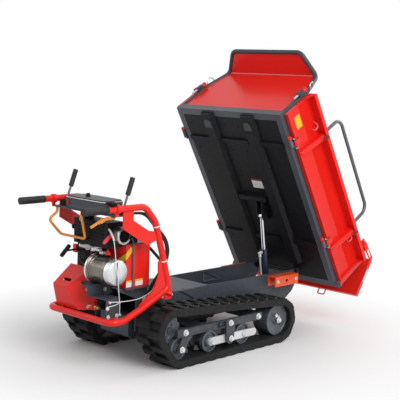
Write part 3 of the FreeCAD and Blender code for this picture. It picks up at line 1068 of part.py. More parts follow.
# Side panels: folded sheet with a top lip, end flanges and stakes, and the
# load rail that stands on each
face_out = "(bed_width / 2 + panel_gap)"
for side, sign in (("right", -1), ("left", 1)):
    tag = side.title()

    def out(text):
        """A distance outside the panel's inner face."""
        return "%d * (%s + %s)" % (sign, face_out, text)

    crease = "(wall_foot + wall_top) / 2"
    skin = plate("PanelSkin" + tag, "x", [
        (out("0"), rise("wall_foot")),
        (out("0"), rise(crease + " - 5")),
        (out("3"), rise(crease)),
        (out("0"), rise(crease + " + 5")),
        (out("0"), rise("wall_top")),
        (out("lip_out"), rise("wall_top")),
        (out("lip_out"), rise("wall_top - lip_turn")),
        (out("lip_out - panel_sheet"), rise("wall_top - lip_turn")),
        (out("lip_out - panel_sheet"), rise("wall_top - panel_sheet")),
        (out("panel_sheet"), rise("wall_top - panel_sheet")),
        (out("panel_sheet"), rise(crease + " + 5")),
        (out("panel_sheet + 3"), rise(crease)),
        (out("panel_sheet"), rise(crease + " - 5")),
        (out("panel_sheet"), rise("wall_foot + panel_sheet")),
        (out("panel_flange"), rise("wall_foot + panel_sheet")),
        (out("panel_flange"), rise("wall_foot")),
    ], HEAD + " + 12", back("panel_tail"))
    notch_y = (out("-1"), out("panel_flange + 1")) if sign > 0 else (out("panel_flange + 1"), out("-1"))
    notches = [block("HingeNotch%d" % number + tag, (back(place + " + hinge_eye_long / 2 + ear_sheet + 6"),
                                                     back(place + " - hinge_eye_long / 2 - ear_sheet - 6")),
                     notch_y, (rise("wall_foot - 1"), rise("hinge_rise + 18")))
               for number, place in enumerate(("side_hinge_rear", "side_hinge_front"))]
    pieces = [cut("PanelNotched" + tag, skin, notches)]
    flange_corners = [
        (out("panel_sheet"), rise("wall_foot + panel_sheet")),
        (out("panel_sheet"), rise("wall_top - panel_sheet")),
        (out("lip_out - panel_sheet"), rise("wall_top - panel_sheet")),
        (out("panel_flange"), rise("wall_top - 60")),
        (out("panel_flange"), rise("wall_foot + panel_sheet")),
    ]
    pieces.append(plate("PanelEndHead" + tag, "x", flange_corners, HEAD + " + 12", HEAD + " + 12 + panel_sheet"))
    pieces.append(plate("PanelEndTail" + tag, "x", flange_corners, back("panel_tail + panel_sheet"), back("panel_tail")))
    for number, place in enumerate(("stake_rear", "stake_front")):
        pieces.append(plate("Stake%d" % number + tag, "x", [
            (out("panel_sheet"), rise("wall_foot + panel_sheet")),
            (out("panel_sheet"), rise("wall_top - panel_sheet")),
            (out("lip_out - 14"), rise("wall_top - panel_sheet")),
            (out("panel_flange - 4"), rise("wall_foot + panel_sheet")),
        ], back(place + " + stake_wide / 2"), back(place + " - stake_wide / 2")))
        stake_x = tail_x - getattr(v, place)
        low_end = Vector(stake_x, sign * (v.bed_width / 2 + v.panel_gap + v.panel_flange - 9), under_z + v.wall_foot + 14)
        high_end = Vector(stake_x, sign * (v.bed_width / 2 + v.panel_gap + v.lip_out - 20), under_z + v.wall_top - 8)
        along = high_end - low_end
        pieces.append(shaped("StakeRound%d" % number + tag, Part.makeCylinder(v.stake_round, along.Length, low_end, along)))
    for number, place in enumerate(("side_hinge_rear", "side_hinge_front")):
        eye_y = "%d * (bed_width / 2 + hinge_out)" % sign
        pieces.append(rod("SideEye%d" % number + tag, "x", (eye_y, rise("hinge_rise")),
                          back(place + " + hinge_eye_long / 2"), back(place + " - hinge_eye_long / 2"), "hinge_eye_radius"))
        pieces.append(rod("SidePin%d" % number + tag, "x", (eye_y, rise("hinge_rise")),
                          back(place + " + hinge_eye_long / 2 + ear_sheet + 4"), back(place + " - hinge_eye_long / 2 - ear_sheet - 4"), "hinge_pin_radius"))
        strap_y = (out("0"), out("panel_flange - 4")) if sign > 0 else (out("panel_flange - 4"), out("0"))
        pieces.append(block("SideStrap%d" % number + tag, (back(place + " + hinge_eye_long / 2"), back(place + " - hinge_eye_long / 2")),
                            strap_y, (rise("hinge_rise"), rise("hinge_rise + 40"))))
    node("side_panel_" + side, fuse("SidePanel" + tag, pieces), bed_pose)

    rail_y = sign * (v.bed_width / 2 + v.panel_gap + v.lip_out - v.rail_inset)
    lip_z = under_z + v.wall_top
    route = [
        Vector(tail_x - v.rail_rear, rail_y, lip_z), Vector(tail_x - v.rail_rear, rail_y, lip_z + v.rail_rise),
        Vector(tail_x - v.rail_front, rail_y, lip_z + v.rail_rise), Vector(tail_x - v.rail_front, rail_y, lip_z),
    ]
    node("load_rail_" + side, shaped("LoadRail" + tag, bent_tube(route, v.rail_bend, v.rail_tube)), bed_pose)

# Tailgate: a folded panel hung from pins above and ahead of it, so that it
# swings free and hangs with its foot towards the machine
gate_in = back("-gate_gap")
gate_out = back("-gate_gap - gate_depth")
gate_parts = [block("GateSkin", (gate_in, gate_in + " + panel_sheet"), ("-gate_width / 2", "gate_width / 2"), (rise("gate_foot"), rise("wall_top + 10")))]
for number, (low, high) in enumerate((("gate_foot", "gate_foot + panel_sheet"), ("wall_top + 10 - panel_sheet", "wall_top + 10"))):
    gate_parts.append(block("GateFold%d" % number, (gate_in + " + panel_sheet", gate_out), ("-gate_width / 2", "gate_width / 2"), (rise(low), rise(high))))
gate_bores = []
for side, sign in (("Right", -1), ("Left", 1)):
    arm_low = "bed_width / 2 + post_wide + arm_gap"
    arm_y = ("-(%s) - gate_arm_sheet" % arm_low, "-(%s)" % arm_low) if sign < 0 else (arm_low, arm_low + " + gate_arm_sheet")
    end_y = ("-gate_width / 2", "panel_sheet - gate_width / 2") if sign < 0 else ("gate_width / 2 - panel_sheet", "gate_width / 2")
    gate_parts.append(block("GateEnd" + side, (gate_in + " + panel_sheet", gate_out), end_y, (rise("gate_foot"), rise("wall_top + 10"))))
    gate_parts.append(plate("GateArm" + side, "y", [
        (gate_in + " + panel_sheet", rise("wall_top + 10")),
        (gate_in, rise("wall_top + 10")),
        (back("gate_pin_from_tail - 6"), rise("gate_pin_rise - 16")),
        (back("gate_pin_from_tail - 2"), rise("gate_pin_rise + 18")),
        (gate_in + " + gate_depth - 4", rise("wall_top + 30")),
        (gate_in + " + gate_depth - 4", rise("wall_top - 30")),
        (gate_in + " + panel_sheet", rise("wall_top - 30")),
    ], *arm_y))
    gate_parts.append(rod("GateBoss" + side, "y", (back("gate_pin_from_tail"), rise("gate_pin_rise")), *arm_y, "gate_boss_radius"))
    pin_in = "bed_width / 2 + post_wide - ear_sheet - 4"
    pin_out = arm_low + " + gate_arm_sheet + 5"
    pin_y = ("-(%s)" % pin_out, "-(%s)" % pin_in) if sign < 0 else (pin_in, pin_out)
    gate_parts.append(rod("GatePin" + side, "y", (back("gate_pin_from_tail"), rise("gate_pin_rise")), *pin_y, "gate_pin_radius"))
for number, loop_y in enumerate((-180, 110)):
    loop_x = tail_x + v.gate_gap + v.gate_depth / 2
    loop_top = under_z + v.gate_foot + 1
    loop_route = [
        Vector(loop_x, loop_y - v.loop_wide / 2, loop_top), Vector(loop_x, loop_y - v.loop_wide / 2, loop_top - v.loop_long),
        Vector(loop_x, loop_y + v.loop_wide / 2, loop_top - v.loop_long), Vector(loop_x, loop_y + v.loop_wide / 2, loop_top),
    ]
    gate_parts.append(shaped("RopeLoop%d" % number, bent_tube(loop_route, 10, v.loop_wire_radius)))
tailgate = fuse("Tailgate", gate_parts)
doc.recompute()
gate_pin = Vector(tail_x - v.gate_pin_from_tail, 0, under_z + v.gate_pin_rise)
weight_arm = heavy_middle(tailgate.Shape) - gate_pin
hang_level = math.degrees(math.atan2(weight_arm.x, -weight_arm.z))
gate_open = v.bed_tilt - hang_level
gate_pose = Placement(Vector(), Rotation(Vector(0, 1, 0), -gate_open), gate_pin)
node("tailgate", tailgate, bed_pose.multiply(gate_pose))

doc.recompute()
for item in doc.Objects:
    for state in ("Invalid", "Error"):
        if state in item.State:
            raise RuntimeError("%s is %s" % (item.Label, state))
os.makedirs("parts", exist_ok=True)
for item in nodes:
    shape = item.Shape
    if shape.isNull() or not shape.isValid() or not shape.Solids:
        raise RuntimeError("%s has no valid solid" % item.Label)
    shape.exportStep("parts/%s.step" % item.Label)

box = FreeCAD.BoundBox()
for item in nodes:
    box.add(item.Shape.BoundBox)
print("pieces", len(nodes))
print("box x %.1f %.1f y %.1f %.1f z %.1f %.1f" % (box.XMin, box.XMax, box.YMin, box.YMax, box.ZMin, box.ZMax))
print("cylinder lean %.4f, reach %.3f" % (lean, reach.Length))
print("tailgate opened by %.3f from closed" % gate_open)
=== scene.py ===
import bpy
import bmesh
import math
from mathutils import Matrix, Vector


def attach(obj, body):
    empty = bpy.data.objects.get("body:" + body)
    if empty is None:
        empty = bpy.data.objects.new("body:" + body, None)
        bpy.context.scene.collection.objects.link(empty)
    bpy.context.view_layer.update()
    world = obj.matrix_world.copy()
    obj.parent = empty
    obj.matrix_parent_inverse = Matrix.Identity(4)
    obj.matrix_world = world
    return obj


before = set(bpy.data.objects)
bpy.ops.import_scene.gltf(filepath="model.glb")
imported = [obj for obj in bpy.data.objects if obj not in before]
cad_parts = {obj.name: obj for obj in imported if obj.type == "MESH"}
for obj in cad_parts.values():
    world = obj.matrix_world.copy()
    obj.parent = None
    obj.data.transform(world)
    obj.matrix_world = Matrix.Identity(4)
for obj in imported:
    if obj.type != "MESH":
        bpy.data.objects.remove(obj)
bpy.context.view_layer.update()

# Studio: pale floor and white surroundings, with a large soft lamp on the
# camera's side and a weaker one from the front. The camera stands behind the
# operator's right hand and leans by two degrees, as the photograph does.
TARGET = Vector((-0.0344, -0.0103, 0.8021))
DISTANCE, LENS = 5.7884, 92.12
AZIMUTH, ELEVATION, ROLL = math.radians(-46.553), math.radians(7.271), math.radians(1.975)
away = Vector((math.sin(AZIMUTH) * math.cos(ELEVATION), -math.cos(AZIMUTH) * math.cos(ELEVATION), math.sin(ELEVATION)))
level = Vector((math.cos(AZIMUTH), math.sin(AZIMUTH), 0))
straight_up = away.cross(level)
right = level * math.cos(ROLL) + straight_up * math.sin(ROLL)
up = straight_up * math.cos(ROLL) - level * math.sin(ROLL)
camera = bpy.data.objects.new("Camera", bpy.data.cameras.new("Camera"))
camera.data.sensor_width = 36
camera.data.lens = LENS
stand = Matrix((right, up, away)).transposed().to_4x4()
stand.translation = TARGET + away * DISTANCE
camera.matrix_world = stand
bpy.context.scene.collection.objects.link(camera)
bpy.context.scene.camera = camera
bpy.context.scene.view_settings.view_transform = "Standard"


def lamp(name, place, aim, size, power):
    """A square soft lamp that faces a point."""
    light = bpy.data.lights.new(name, "AREA")
    light.size = size
    light.energy = power
    item = bpy.data.objects.new(name, light)
    item.matrix_world = Matrix.Translation(place) @ (Vector(place) - Vector(aim)).to_track_quat("Z",
            "Y").to_matrix().to_4x4()
    bpy.context.scene.collection.objects.link(item)


lamp("KeyLamp", (-1.2, -4.6, 3.6), (0, 0, 0.6), 3.2, 200)
lamp("FrontLamp", (4.4, -1.2, 3.4), (0.2, 0, 0.7), 2.6, 80)
lamp("BackLamp", (-3.8, 2.6, 3.0), (-0.2, 0, 0.6), 2.4, 22)

world = bpy.data.worlds.new("Studio")
bpy.context.scene.world = world
world.use_nodes = True
air = world.node_tree
sky = air.nodes["Background"]
sky.inputs["Color"].default_value = (1, 1, 1, 1)
sky.inputs["Strength"].default_value = 0.5


def node_of(tree, kind, inputs=(), **settings):
    """A new node, with its inputs fed by sockets or plain values."""
    node = tree.nodes.new(kind)
    for label, value in settings.items():
        setattr(node, label, value)
    for label, value in dict(inputs).items():
        if isinstance(value, bpy.types.NodeSocket):
            tree.links.new(value, node.inputs[label])
        else:
            node.inputs[label].default_value = value
    return node


def sum_of(tree, kind, operation, *values):
    """The result of a sum in a shader tree."""
    return node_of(tree, "ShaderNode" + kind, enumerate(values), operation=operation).outputs[0]


def plainly_seen(tree):
    """One for rays from the camera, through glass or off a mirror."""
    path = node_of(tree, "ShaderNodeLightPath")
    direct = sum_of(tree, "Math", "MAXIMUM", path.outputs["Is Camera Ray"], path.outputs["Is Transmission Ray"])
    return sum_of(tree, "Math", "MAXIMUM", direct, path.outputs["Is Glossy Ray"])


white_sky = node_of(air, "ShaderNodeBackground", {"Color": (1, 1, 1, 1), "Strength": 1.0})
sky_mix = node_of(air, "ShaderNodeMixShader", {0: plainly_seen(air), 1: sky.outputs[0], 2: white_sky.outputs[0]})
air.links.new(sky_mix.outputs[0], air.nodes["World Output"].inputs["Surface"])

FLOOR_HALF, FADE_FROM, FADE_TO = 40, 0.7, 1.7
floor_mesh = bpy.data.meshes.new("StudioFloor")
floor_mesh.from_pydata([(x * FLOOR_HALF, y * FLOOR_HALF, 0) for x, y in ((-1, -1), (1, -1), (1, 1), (-1, 1))], [],
                       [(0, 1, 2, 3)])
floor = bpy.data.objects.new("StudioFloor", floor_mesh)
floor_paint = bpy.data.materials.new("StudioFloor")
floor_paint.use_nodes = True
ground = floor_paint.node_tree
matt = ground.nodes["Principled BSDF"]
matt.inputs["Base Color"].default_value = (0.80, 0.80, 0.80, 1)
matt.inputs["Roughness"].default_value = 0.9
place = node_of(ground, "ShaderNodeTexCoord").outputs["Object"]
reach = node_of(ground, "ShaderNodeVectorMath", {0: place}, operation="LENGTH").outputs["Value"]
fade = node_of(ground, "ShaderNodeMapRange", {"Value": reach, "From Min": FADE_FROM, "From Max": FADE_TO})
share = sum_of(ground, "Math", "MULTIPLY", plainly_seen(ground), fade.outputs["Result"])
glow = node_of(ground, "ShaderNodeEmission")
floor_mix = node_of(ground, "ShaderNodeMixShader", {0: share, 1: matt.outputs[0], 2: glow.outputs[0]})
ground.links.new(floor_mix.outputs[0], ground.nodes["Material Output"].inputs["Surface"])
floor_mesh.materials.append(floor_paint)
bpy.context.scene.collection.objects.link(floor)

# Red sheet metal: sides, tailgate, headboard, covers and the handle tubes.
# Glossy red paint over pressed steel, with a faint unevenness in the film
# and a little dust.


def open_group(name, sockets, results):
    """A new shader group with its inputs and outputs."""
    tree = bpy.data.node_groups.new(name, "ShaderNodeTree")
    for label, kind, start in sockets:
        socket = tree.interface.new_socket(label, in_out="INPUT", socket_type=kind)
        socket.default_value = start
    for label, kind in results:
        tree.interface.new_socket(label, in_out="OUTPUT", socket_type=kind)
    return tree, tree.nodes.new("NodeGroupInput"), tree.nodes.new("NodeGroupOutput")


COLOUR, NUMBER = "NodeSocketColor", "NodeSocketFloat"
film, given, result = open_group(
    "PaintFilm",
    [("Paint", COLOUR, (1, 1, 1, 1)), ("Dust", COLOUR, (0.35, 0.31, 0.27, 1)), ("Dust amount", NUMBER, 0.1),
     ("Gloss", NUMBER, 0.35), ("Cloud size", NUMBER, 6.0), ("Cloud depth", NUMBER, 0.1), ("Peel size", NUMBER, 260.0)],
    [("Colour", COLOUR), ("Roughness", NUMBER), ("Height", NUMBER)])
spot = node_of(film, "ShaderNodeTexCoord").outputs["Object"]
cloud = node_of(film, "ShaderNodeTexNoise", {"Vector": spot, "Scale": given.outputs["Cloud size"], "Detail": 5})
peel = node_of(film, "ShaderNodeTexNoise", {"Vector": spot, "Scale": given.outputs["Peel size"], "Detail": 2})
speck = node_of(film, "ShaderNodeTexNoise", {"Vector": spot, "Scale": 38, "Detail": 8, "Roughness": 0.7})
darkest = sum_of(film, "Math", "SUBTRACT", 1.0, given.outputs["Cloud depth"])
tone = node_of(film, "ShaderNodeMapRange", {
    "Value": cloud.outputs["Fac"], "From Min": 0.3, "From Max": 0.7, "To Min": 1.0, "To Max": darkest})
shade = node_of(film, "ShaderNodeVectorMath", {0: given.outputs["Paint"], "Scale": tone.outputs["Result"]},
                operation="SCALE")
grit = node_of(film, "ShaderNodeMapRange", {"Value": speck.outputs["Fac"], "From Min": 0.48, "From Max": 0.72})
dusty = sum_of(film, "Math", "MULTIPLY", grit.outputs["Result"], given.outputs["Dust amount"])
laid = node_of(film, "ShaderNodeMix", {"Factor": dusty, "A": shade.outputs["Vector"], "B": given.outputs["Dust"]},
               data_type="RGBA")
film.links.new(laid.outputs["Result"], result.inputs["Colour"])
dull = sum_of(film, "Math", "MULTIPLY_ADD", cloud.outputs["Fac"], 0.12, given.outputs["Gloss"])
film.links.new(dull, result.inputs["Roughness"])
film.links.new(peel.outputs["Fac"], result.inputs["Height"])


def finish_of(name, paint, gloss, metal=0.0, cloud_depth=0.1, cloud_size=6.0, dust=0.05, peel=260.0, bump=0.04,
              coat=0.0, dust_colour=(0.33, 0.30, 0.27, 1), sheen=0.5):
    """A finish made of the paint film with its own values."""
    material = bpy.data.materials.new(name)
    material.use_nodes = True
    tree = material.node_tree
    shader = tree.nodes["Principled BSDF"]
    coatings = node_of(tree, "ShaderNodeGroup", {
        "Paint": (*paint, 1), "Dust": dust_colour, "Dust amount": dust, "Gloss": gloss, "Cloud size": cloud_size,
        "Cloud depth": cloud_depth, "Peel size": peel}, node_tree=film)
    tree.links.new(coatings.outputs["Colour"], shader.inputs["Base Color"])
    tree.links.new(coatings.outputs["Roughness"], shader.inputs["Roughness"])
    relief = node_of(tree, "ShaderNodeBump", {
        "Strength": bump, "Distance": 0.002, "Height": coatings.outputs["Height"]})
    tree.links.new(relief.outputs["Normal"], shader.inputs["Normal"])
    shader.inputs["Metallic"].default_value = metal
    shader.inputs["Coat Weight"].default_value = coat
    shader.inputs["Specular IOR Level"].default_value = sheen
    return material


def dress(material, *names):
    """Give CAD nodes a finish and soft shading on their curved faces."""
    for name in names:
        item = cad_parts[name]
        item.material_slots[0].material = material
        for face in item.data.polygons:
            face.use_smooth = True
        weld = item.modifiers.new("Weld", "WELD")
        weld.merge_threshold = 0.00002
        split = item.modifiers.new("Edges", "EDGE_SPLIT")
        split.split_angle = math.radians(32)


red = finish_of("RedPaint", (0.80, 0.016, 0.010), 0.24, cloud_depth=0.06, cloud_size=3.0, dust=0.015, coat=0.06,
                sheen=0.28)
dress(red, "side_panel_left", "side_panel_right", "tailgate", "headboard_panel", "box_cover", "rear_cover",
      "frame_left", "frame_right", "rear_bumper")

# Dark blue-grey steel: chassis, deck, engine base, bed frame and headboard
# tube, all welded and painted with a satin paint.
steel = finish_of("DarkSteelPaint", (0.046, 0.056, 0.072), 0.40, cloud_depth=0.22, cloud_size=5.0, dust=0.06,
                  sheen=0.35)
dress(steel, "chassis_frame", "deck_cover", "engine_base", "headboard_frame", "gear_case", "console")
gear_steel = finish_of("GearSteelPaint", (0.050, 0.058, 0.070), 0.42, cloud_depth=0.3, cloud_size=9.0, dust=0.16,
                       sheen=0.35)
dress(gear_steel, "track_frame_left", "track_frame_right")

# Rollers, idlers and sprockets: grey cast steel, rubbed bright by the track.
wheel_steel = finish_of("WheelSteel", (0.13, 0.145, 0.17), 0.38, metal=0.35, cloud_depth=0.35, cloud_size=16.0,
                        dust=0.14)
dress(wheel_steel, "idler_left", "idler_right", "rollers_left", "rollers_right", "sprocket_left", "sprocket_right")

# Bed frame: welded rails in the same steel paint, made lighter as painted light
# on the rails' lit outer faces, with the two tail posts and the tailgate's eyes
# painted red as the panels are.
zone, zone_in, zone_out = open_group(
    "BoxMask", [("Place", "NodeSocketVector", (0, 0, 0)), ("Low", "NodeSocketVector", (0, 0, 0)),
                ("High", "NodeSocketVector", (1, 1, 1))], [("Mask", NUMBER)])
here, low_end, high_end = (zone_in.outputs[label] for label in ("Place", "Low", "High"))
inner = sum_of(zone, "VectorMath", "MINIMUM", sum_of(zone, "VectorMath", "SUBTRACT", here, low_end),
               sum_of(zone, "VectorMath", "SUBTRACT", high_end, here))
parts_of = node_of(zone, "ShaderNodeSeparateXYZ", {0: inner})
least = sum_of(zone, "Math", "MINIMUM", parts_of.outputs[0], parts_of.outputs[1])
least = sum_of(zone, "Math", "MINIMUM", least, parts_of.outputs[2])
zone.links.new(sum_of(zone, "Math", "GREATER_THAN", least, 0.0), zone_out.inputs["Mask"])

raised = Matrix.Translation((0.766373, 0, 0.262469)) @ Matrix.Rotation(math.radians(60), 4, "Y")
turned = raised.to_3x3()


def on_bed(point):
    """Where a point of the level bed is when the bed is raised."""
    return raised @ Vector(point)


def second_colour(material, low, high, paint, lay=None):
    """Another paint inside a box; lay turns the box with the piece."""
    tree = material.node_tree
    coatings = next(node for node in tree.nodes if node.type == "GROUP" and node.node_tree == film)
    here = tree.nodes.new("ShaderNodeTexCoord").outputs["Object"]
    if lay is not None:
        back = lay.inverted()
        turn = node_of(tree, "ShaderNodeMapping", {
            "Rotation": back.to_euler("XYZ"), "Location": back.translation, "Vector": here})
        here = turn.outputs["Vector"]
    mask = node_of(tree, "ShaderNodeGroup", {"Place": here, "Low": low, "High": high}, node_tree=zone)
    slot = coatings.inputs["Paint"]
    first = slot.links[0].from_socket if slot.is_linked else slot.default_value
    both = node_of(tree, "ShaderNodeMix", {"A": first, "B": (*paint, 1), "Factor": mask.outputs["Mask"]},
                   data_type="RGBA")
    tree.links.new(both.outputs["Result"], slot)


# A lighter copy of the dark steel: painted light for the rails' lit faces.
lit_frame_paint = finish_of("BedFrameLitPaint", (0.070, 0.080, 0.098), 0.36, cloud_depth=0.2, cloud_size=4.0, dust=0.06)
for side in (-1, 1):
    low_y, high_y = sorted((side * 0.4002, side * 0.44))
    second_colour(lit_frame_paint, (-0.14, low_y, 0.020), (0.02, high_y, 0.37), (0.74, 0.022, 0.014), raised)
dress(lit_frame_paint, "bed_frame")

# Underside of the bed: the same steel, darkened to near black as painted shade on the faces seen from below.
shaded_underside = finish_of("UndersideShadePaint", (0.006, 0.0065, 0.009), 0.45, cloud_depth=0.35, cloud_size=3.0, dust=0.03,
                      sheen=0.22)
dress(shaded_underside, "bed_floor")

# Side brackets: folded orange channels for tie-down hooks.
orange = finish_of("OrangePaint", (0.86, 0.085, 0.008), 0.3, cloud_depth=0.08, dust=0.03, coat=0.15)
dress(orange, "side_brackets")

# Rockers and oil pipe: bright zinc-coated steel.
zinc = finish_of("ZincPlate", (0.80, 0.81, 0.82), 0.34, metal=0.35, cloud_depth=0.25, cloud_size=9.0, dust=0.08)
dress(zinc, "rocker_left", "rocker_right", "lift_pipe")

# Load rails and lever stems: grey steel tube.
grey_tube = finish_of("GreyTube", (0.12, 0.125, 0.15), 0.34, metal=0.3, cloud_depth=0.12, dust=0.04)
dress(grey_tube, "load_rail_left", "load_rail_right", "drive_levers")

# Small bright fittings: bare steel.
bright_steel = finish_of("BrightSteel", (0.60, 0.60, 0.62), 0.25, metal=0.95, cloud_depth=0.15, dust=0.03)

# Clutch bail and hand lever: bent rods in amber paint.
amber = finish_of("AmberPaint", (0.80, 0.27, 0.010), 0.3, cloud_depth=0.06, dust=0.02, coat=0.15)
dress(amber, "clutch_bail", "hand_lever")

# Engine, fuel box and starter: black plastic and black castings.
black_plastic = finish_of("BlackPlastic", (0.004, 0.004, 0.005), 0.45, cloud_depth=0.25, dust=0.02, peel=500.0,
                          bump=0.08,
                          sheen=0.15)
dress(black_plastic, "engine_block", "fuel_box", "starter_handle")

# Drum and canister: spun alloy. The drum's barrel is dull and dark between a
# light flange and a white end cap, and the canister's mouth holds a black disc of painted shade.
drum_metal = finish_of("DrumMetal", (0.20, 0.185, 0.165), 0.20, metal=0.75, cloud_depth=0.3, cloud_size=14.0, dust=0.05)
second_colour(drum_metal, (-1, -0.027, 0), (0, 0, 1), (0.80, 0.80, 0.80))
second_colour(drum_metal, (-1, -0.30, 0), (0, -0.152, 1), (0.88, 0.89, 0.90))
dress(drum_metal, "engine_drum")
alloy = finish_of("Alloy", (0.66, 0.66, 0.67), 0.26, metal=0.85, cloud_depth=0.2, cloud_size=8.0, dust=0.04)
canister_metal = finish_of("CanisterMetal", (0.22, 0.22, 0.225), 0.30, metal=0.8, cloud_depth=0.3, cloud_size=20.0,
                           dust=0.06)
dress(canister_metal, "muffler")

# Lift cylinder: navy painted barrel and chromed rod.
navy = finish_of("NavyPaint", (0.012, 0.018, 0.050), 0.28, cloud_depth=0.12, dust=0.04, coat=0.2)
dress(navy, "lift_barrel")
chrome = finish_of("Chrome", (0.80, 0.81, 0.83), 0.08, metal=1.0, cloud_depth=0.05, dust=0.01)
dress(chrome, "lift_rod")

# Tracks: moulded rubber with dust scattered over it.
rubber = finish_of("TrackRubber", (0.009, 0.0095, 0.010), 0.62, cloud_depth=0.3, cloud_size=12.0, dust=0.20, peel=420.0,
                   bump=0.25, dust_colour=(0.075, 0.073, 0.072, 1), sheen=0.25)
dress(rubber, "track_left", "track_right")

# Grips and hoses: soft black rubber.
grip_rubber = finish_of("GripRubber", (0.013, 0.013, 0.015), 0.5, cloud_depth=0.15, dust=0.05, peel=900.0, bump=0.15,
                        sheen=0.35)
dress(grip_rubber, "grips", "hydraulic_hoses")

# Console lid: a thin cream rim pressed round the lid, a key switch and a
# rocker switch let into the dark sheet, and a round knob on the right tube.
cream = finish_of("CreamTrim", (0.74, 0.70, 0.60), 0.35, cloud_depth=0.1, dust=0.05)
dark_red = finish_of("DarkRedPlastic", (0.20, 0.012, 0.012), 0.4, cloud_depth=0.1, dust=0.03)


def finished(name, form, finish, body="chassis", sharp=34, soft=0.0):
    """Close a form, turn its faces outwards, and let it ride on a body."""
    bmesh.ops.remove_doubles(form, verts=form.verts, dist=0.00001)
    bmesh.ops.recalc_face_normals(form, faces=form.faces)
    mesh = bpy.data.meshes.new(name)
    form.to_mesh(mesh)
    form.free()
    mesh.shade_smooth()
    mesh.set_sharp_from_angle(angle=math.radians(sharp))
    mesh.materials.append(finish)
    item = bpy.data.objects.new(name, mesh)
    bpy.context.scene.collection.objects.link(item)
    if soft:
        edge = item.modifiers.new("SoftEdge", "BEVEL")
        edge.width = soft
        edge.segments = 2
        edge.limit_method = "ANGLE"
    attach(item, body)
    return item


def prism(form, outline, low, high, axis="z", lay=None):
    """A plate with that outline, from low to high along an axis."""
    order = {"x": (2, 0, 1), "y": (0, 2, 1), "z": (0, 1, 2)}[axis]
    rings = []
    for level in (low, high):
        ring = []
        for first, second in outline:
            values = (first, second, level)
            point = Vector([values[spot] for spot in order])
            ring.append(form.verts.new(lay @ point if lay else point))
        rings.append(ring)
    form.faces.new(rings[0])
    form.faces.new(rings[1])
    for spot in range(len(outline)):
        after = (spot + 1) % len(outline)
        form.faces.new((rings[0][spot], rings[0][after], rings[1][after], rings[1][spot]))


def box_form(form, low, high, lay=None):
    """A rectangular body between two corners."""
    prism(form, [(low[0], low[1]), (high[0], low[1]), (high[0], high[1]), (low[0], high[1])], low[2], high[2], "z", lay)


def lathe(form, profile, centre, axis, sides=28):
    """A turned body: (along, radius) steps from a centre along an axis."""
    centre, axis = Vector(centre), Vector(axis).normalized()
    across = axis.orthogonal().normalized()
    third = axis.cross(across)
    rings = []
    for along, radius in profile:
        middle = centre + axis * along
        if radius == 0:
            rings.append([form.verts.new(middle)])
            continue
        rings.append([form.verts.new(middle + (across * math.cos(math.tau * step / sides)
                                               + third * math.sin(math.tau * step / sides)) * radius)
                      for step in range(sides)])
    for first, second in zip(rings, rings[1:]):
        for step in range(sides):
            after = (step + 1) % sides
            corners = [first[step % len(first)], first[after % len(first)], second[after % len(second)],
                       second[step % len(second)]]
            kept = []
            for corner in corners:
                if corner not in kept:
                    kept.append(corner)
            if len(kept) > 2:
                form.faces.new(kept)
    for ring in (rings[0], rings[-1]):
        if len(ring) > 1:
            form.faces.new(ring)


def made_plain(item):
    """The finished form of an object, which is then removed."""
    mesh = bpy.data.meshes.new_from_object(item.evaluated_get(bpy.context.evaluated_depsgraph_get()))
    bpy.data.objects.remove(item)
    form = bmesh.new()
    form.from_mesh(mesh)
    bpy.data.meshes.remove(mesh)
    return form


def drawn(name, routes, radius, finish, body="chassis", closed=False, kind="NURBS", sides=3):
    """Bent rods or cables of one thickness, each along its own points."""
    line = bpy.data.curves.new(name, "CURVE")
    line.dimensions = "3D"
    line.bevel_depth = radius
    line.bevel_resolution = sides
    line.use_fill_caps = True
    line.resolution_u = 6
    for points in routes:
        spline = line.splines.new(kind)
        spline.points.add(len(points) - 1)
        for knot, point in zip(spline.points, points):
            knot.co = (*point, 1)
        spline.use_cyclic_u = closed
        if kind == "NURBS":
            spline.order_u = 3
            spline.use_endpoint_u = not closed
    carrier = bpy.data.objects.new(name, line)
    bpy.context.scene.collection.objects.link(carrier)
    form = made_plain(carrier)
    bpy.data.curves.remove(line)
    return finished(name, form, finish, body)


rim = []
for corner_x, corner_y, start in ((-0.772, 0.124, 0), (-0.844, 0.124, 90), (-0.844, -0.124, 180),
                                  (-0.772, -0.124, 270)):
    for step in range(5):
        angle = math.radians(start + step * 22.5)
        rim.append((corner_x + 0.0335 * math.cos(angle), corner_y + 0.0335 * math.sin(angle), 0.8605))
drawn("console_lid_rim", [rim], 0.0028, cream, closed=True, kind="POLY")
form = bmesh.new()
lathe(form, [(0, 0), (0, 0.013), (0.005, 0.013), (0.006, 0.010), (0.006, 0)], (-0.812, 0.045, 0.8675), (0, 0, 1))
box_form(form, (-0.825, 0.044, 0.872), (-0.800, 0.046, 0.886))
finished("key_switch", form, black_plastic, soft=0.0006)
form = bmesh.new()
box_form(form, (-0.8835, 0.112, 0.819), (-0.8795, 0.136, 0.850))
finished("rocker_switch", form, dark_red, soft=0.001)
form = bmesh.new()
lathe(form, [(0, 0), (0, 0.010), (0.006, 0.010), (0.007, 0.027), (0.014, 0.031), (0.020, 0.030), (0.025, 0.022),
             (0.027, 0)],
      (-0.908, -0.243, 0.8545), (0.1, 0, 1))
finished("round_knob", form, black_plastic)

# Hand lever catch: a flat amber plate pressed round the rod at its bend.
form = bmesh.new()
prism(form, [(-0.972, 0.776), (-0.952, 0.799), (-0.905, 0.802), (-0.896, 0.793), (-0.925, 0.784), (-0.948, 0.772)],
      -0.2245, -0.2195, "y")
finished("hand_lever_catch", form, amber, soft=0.0015)

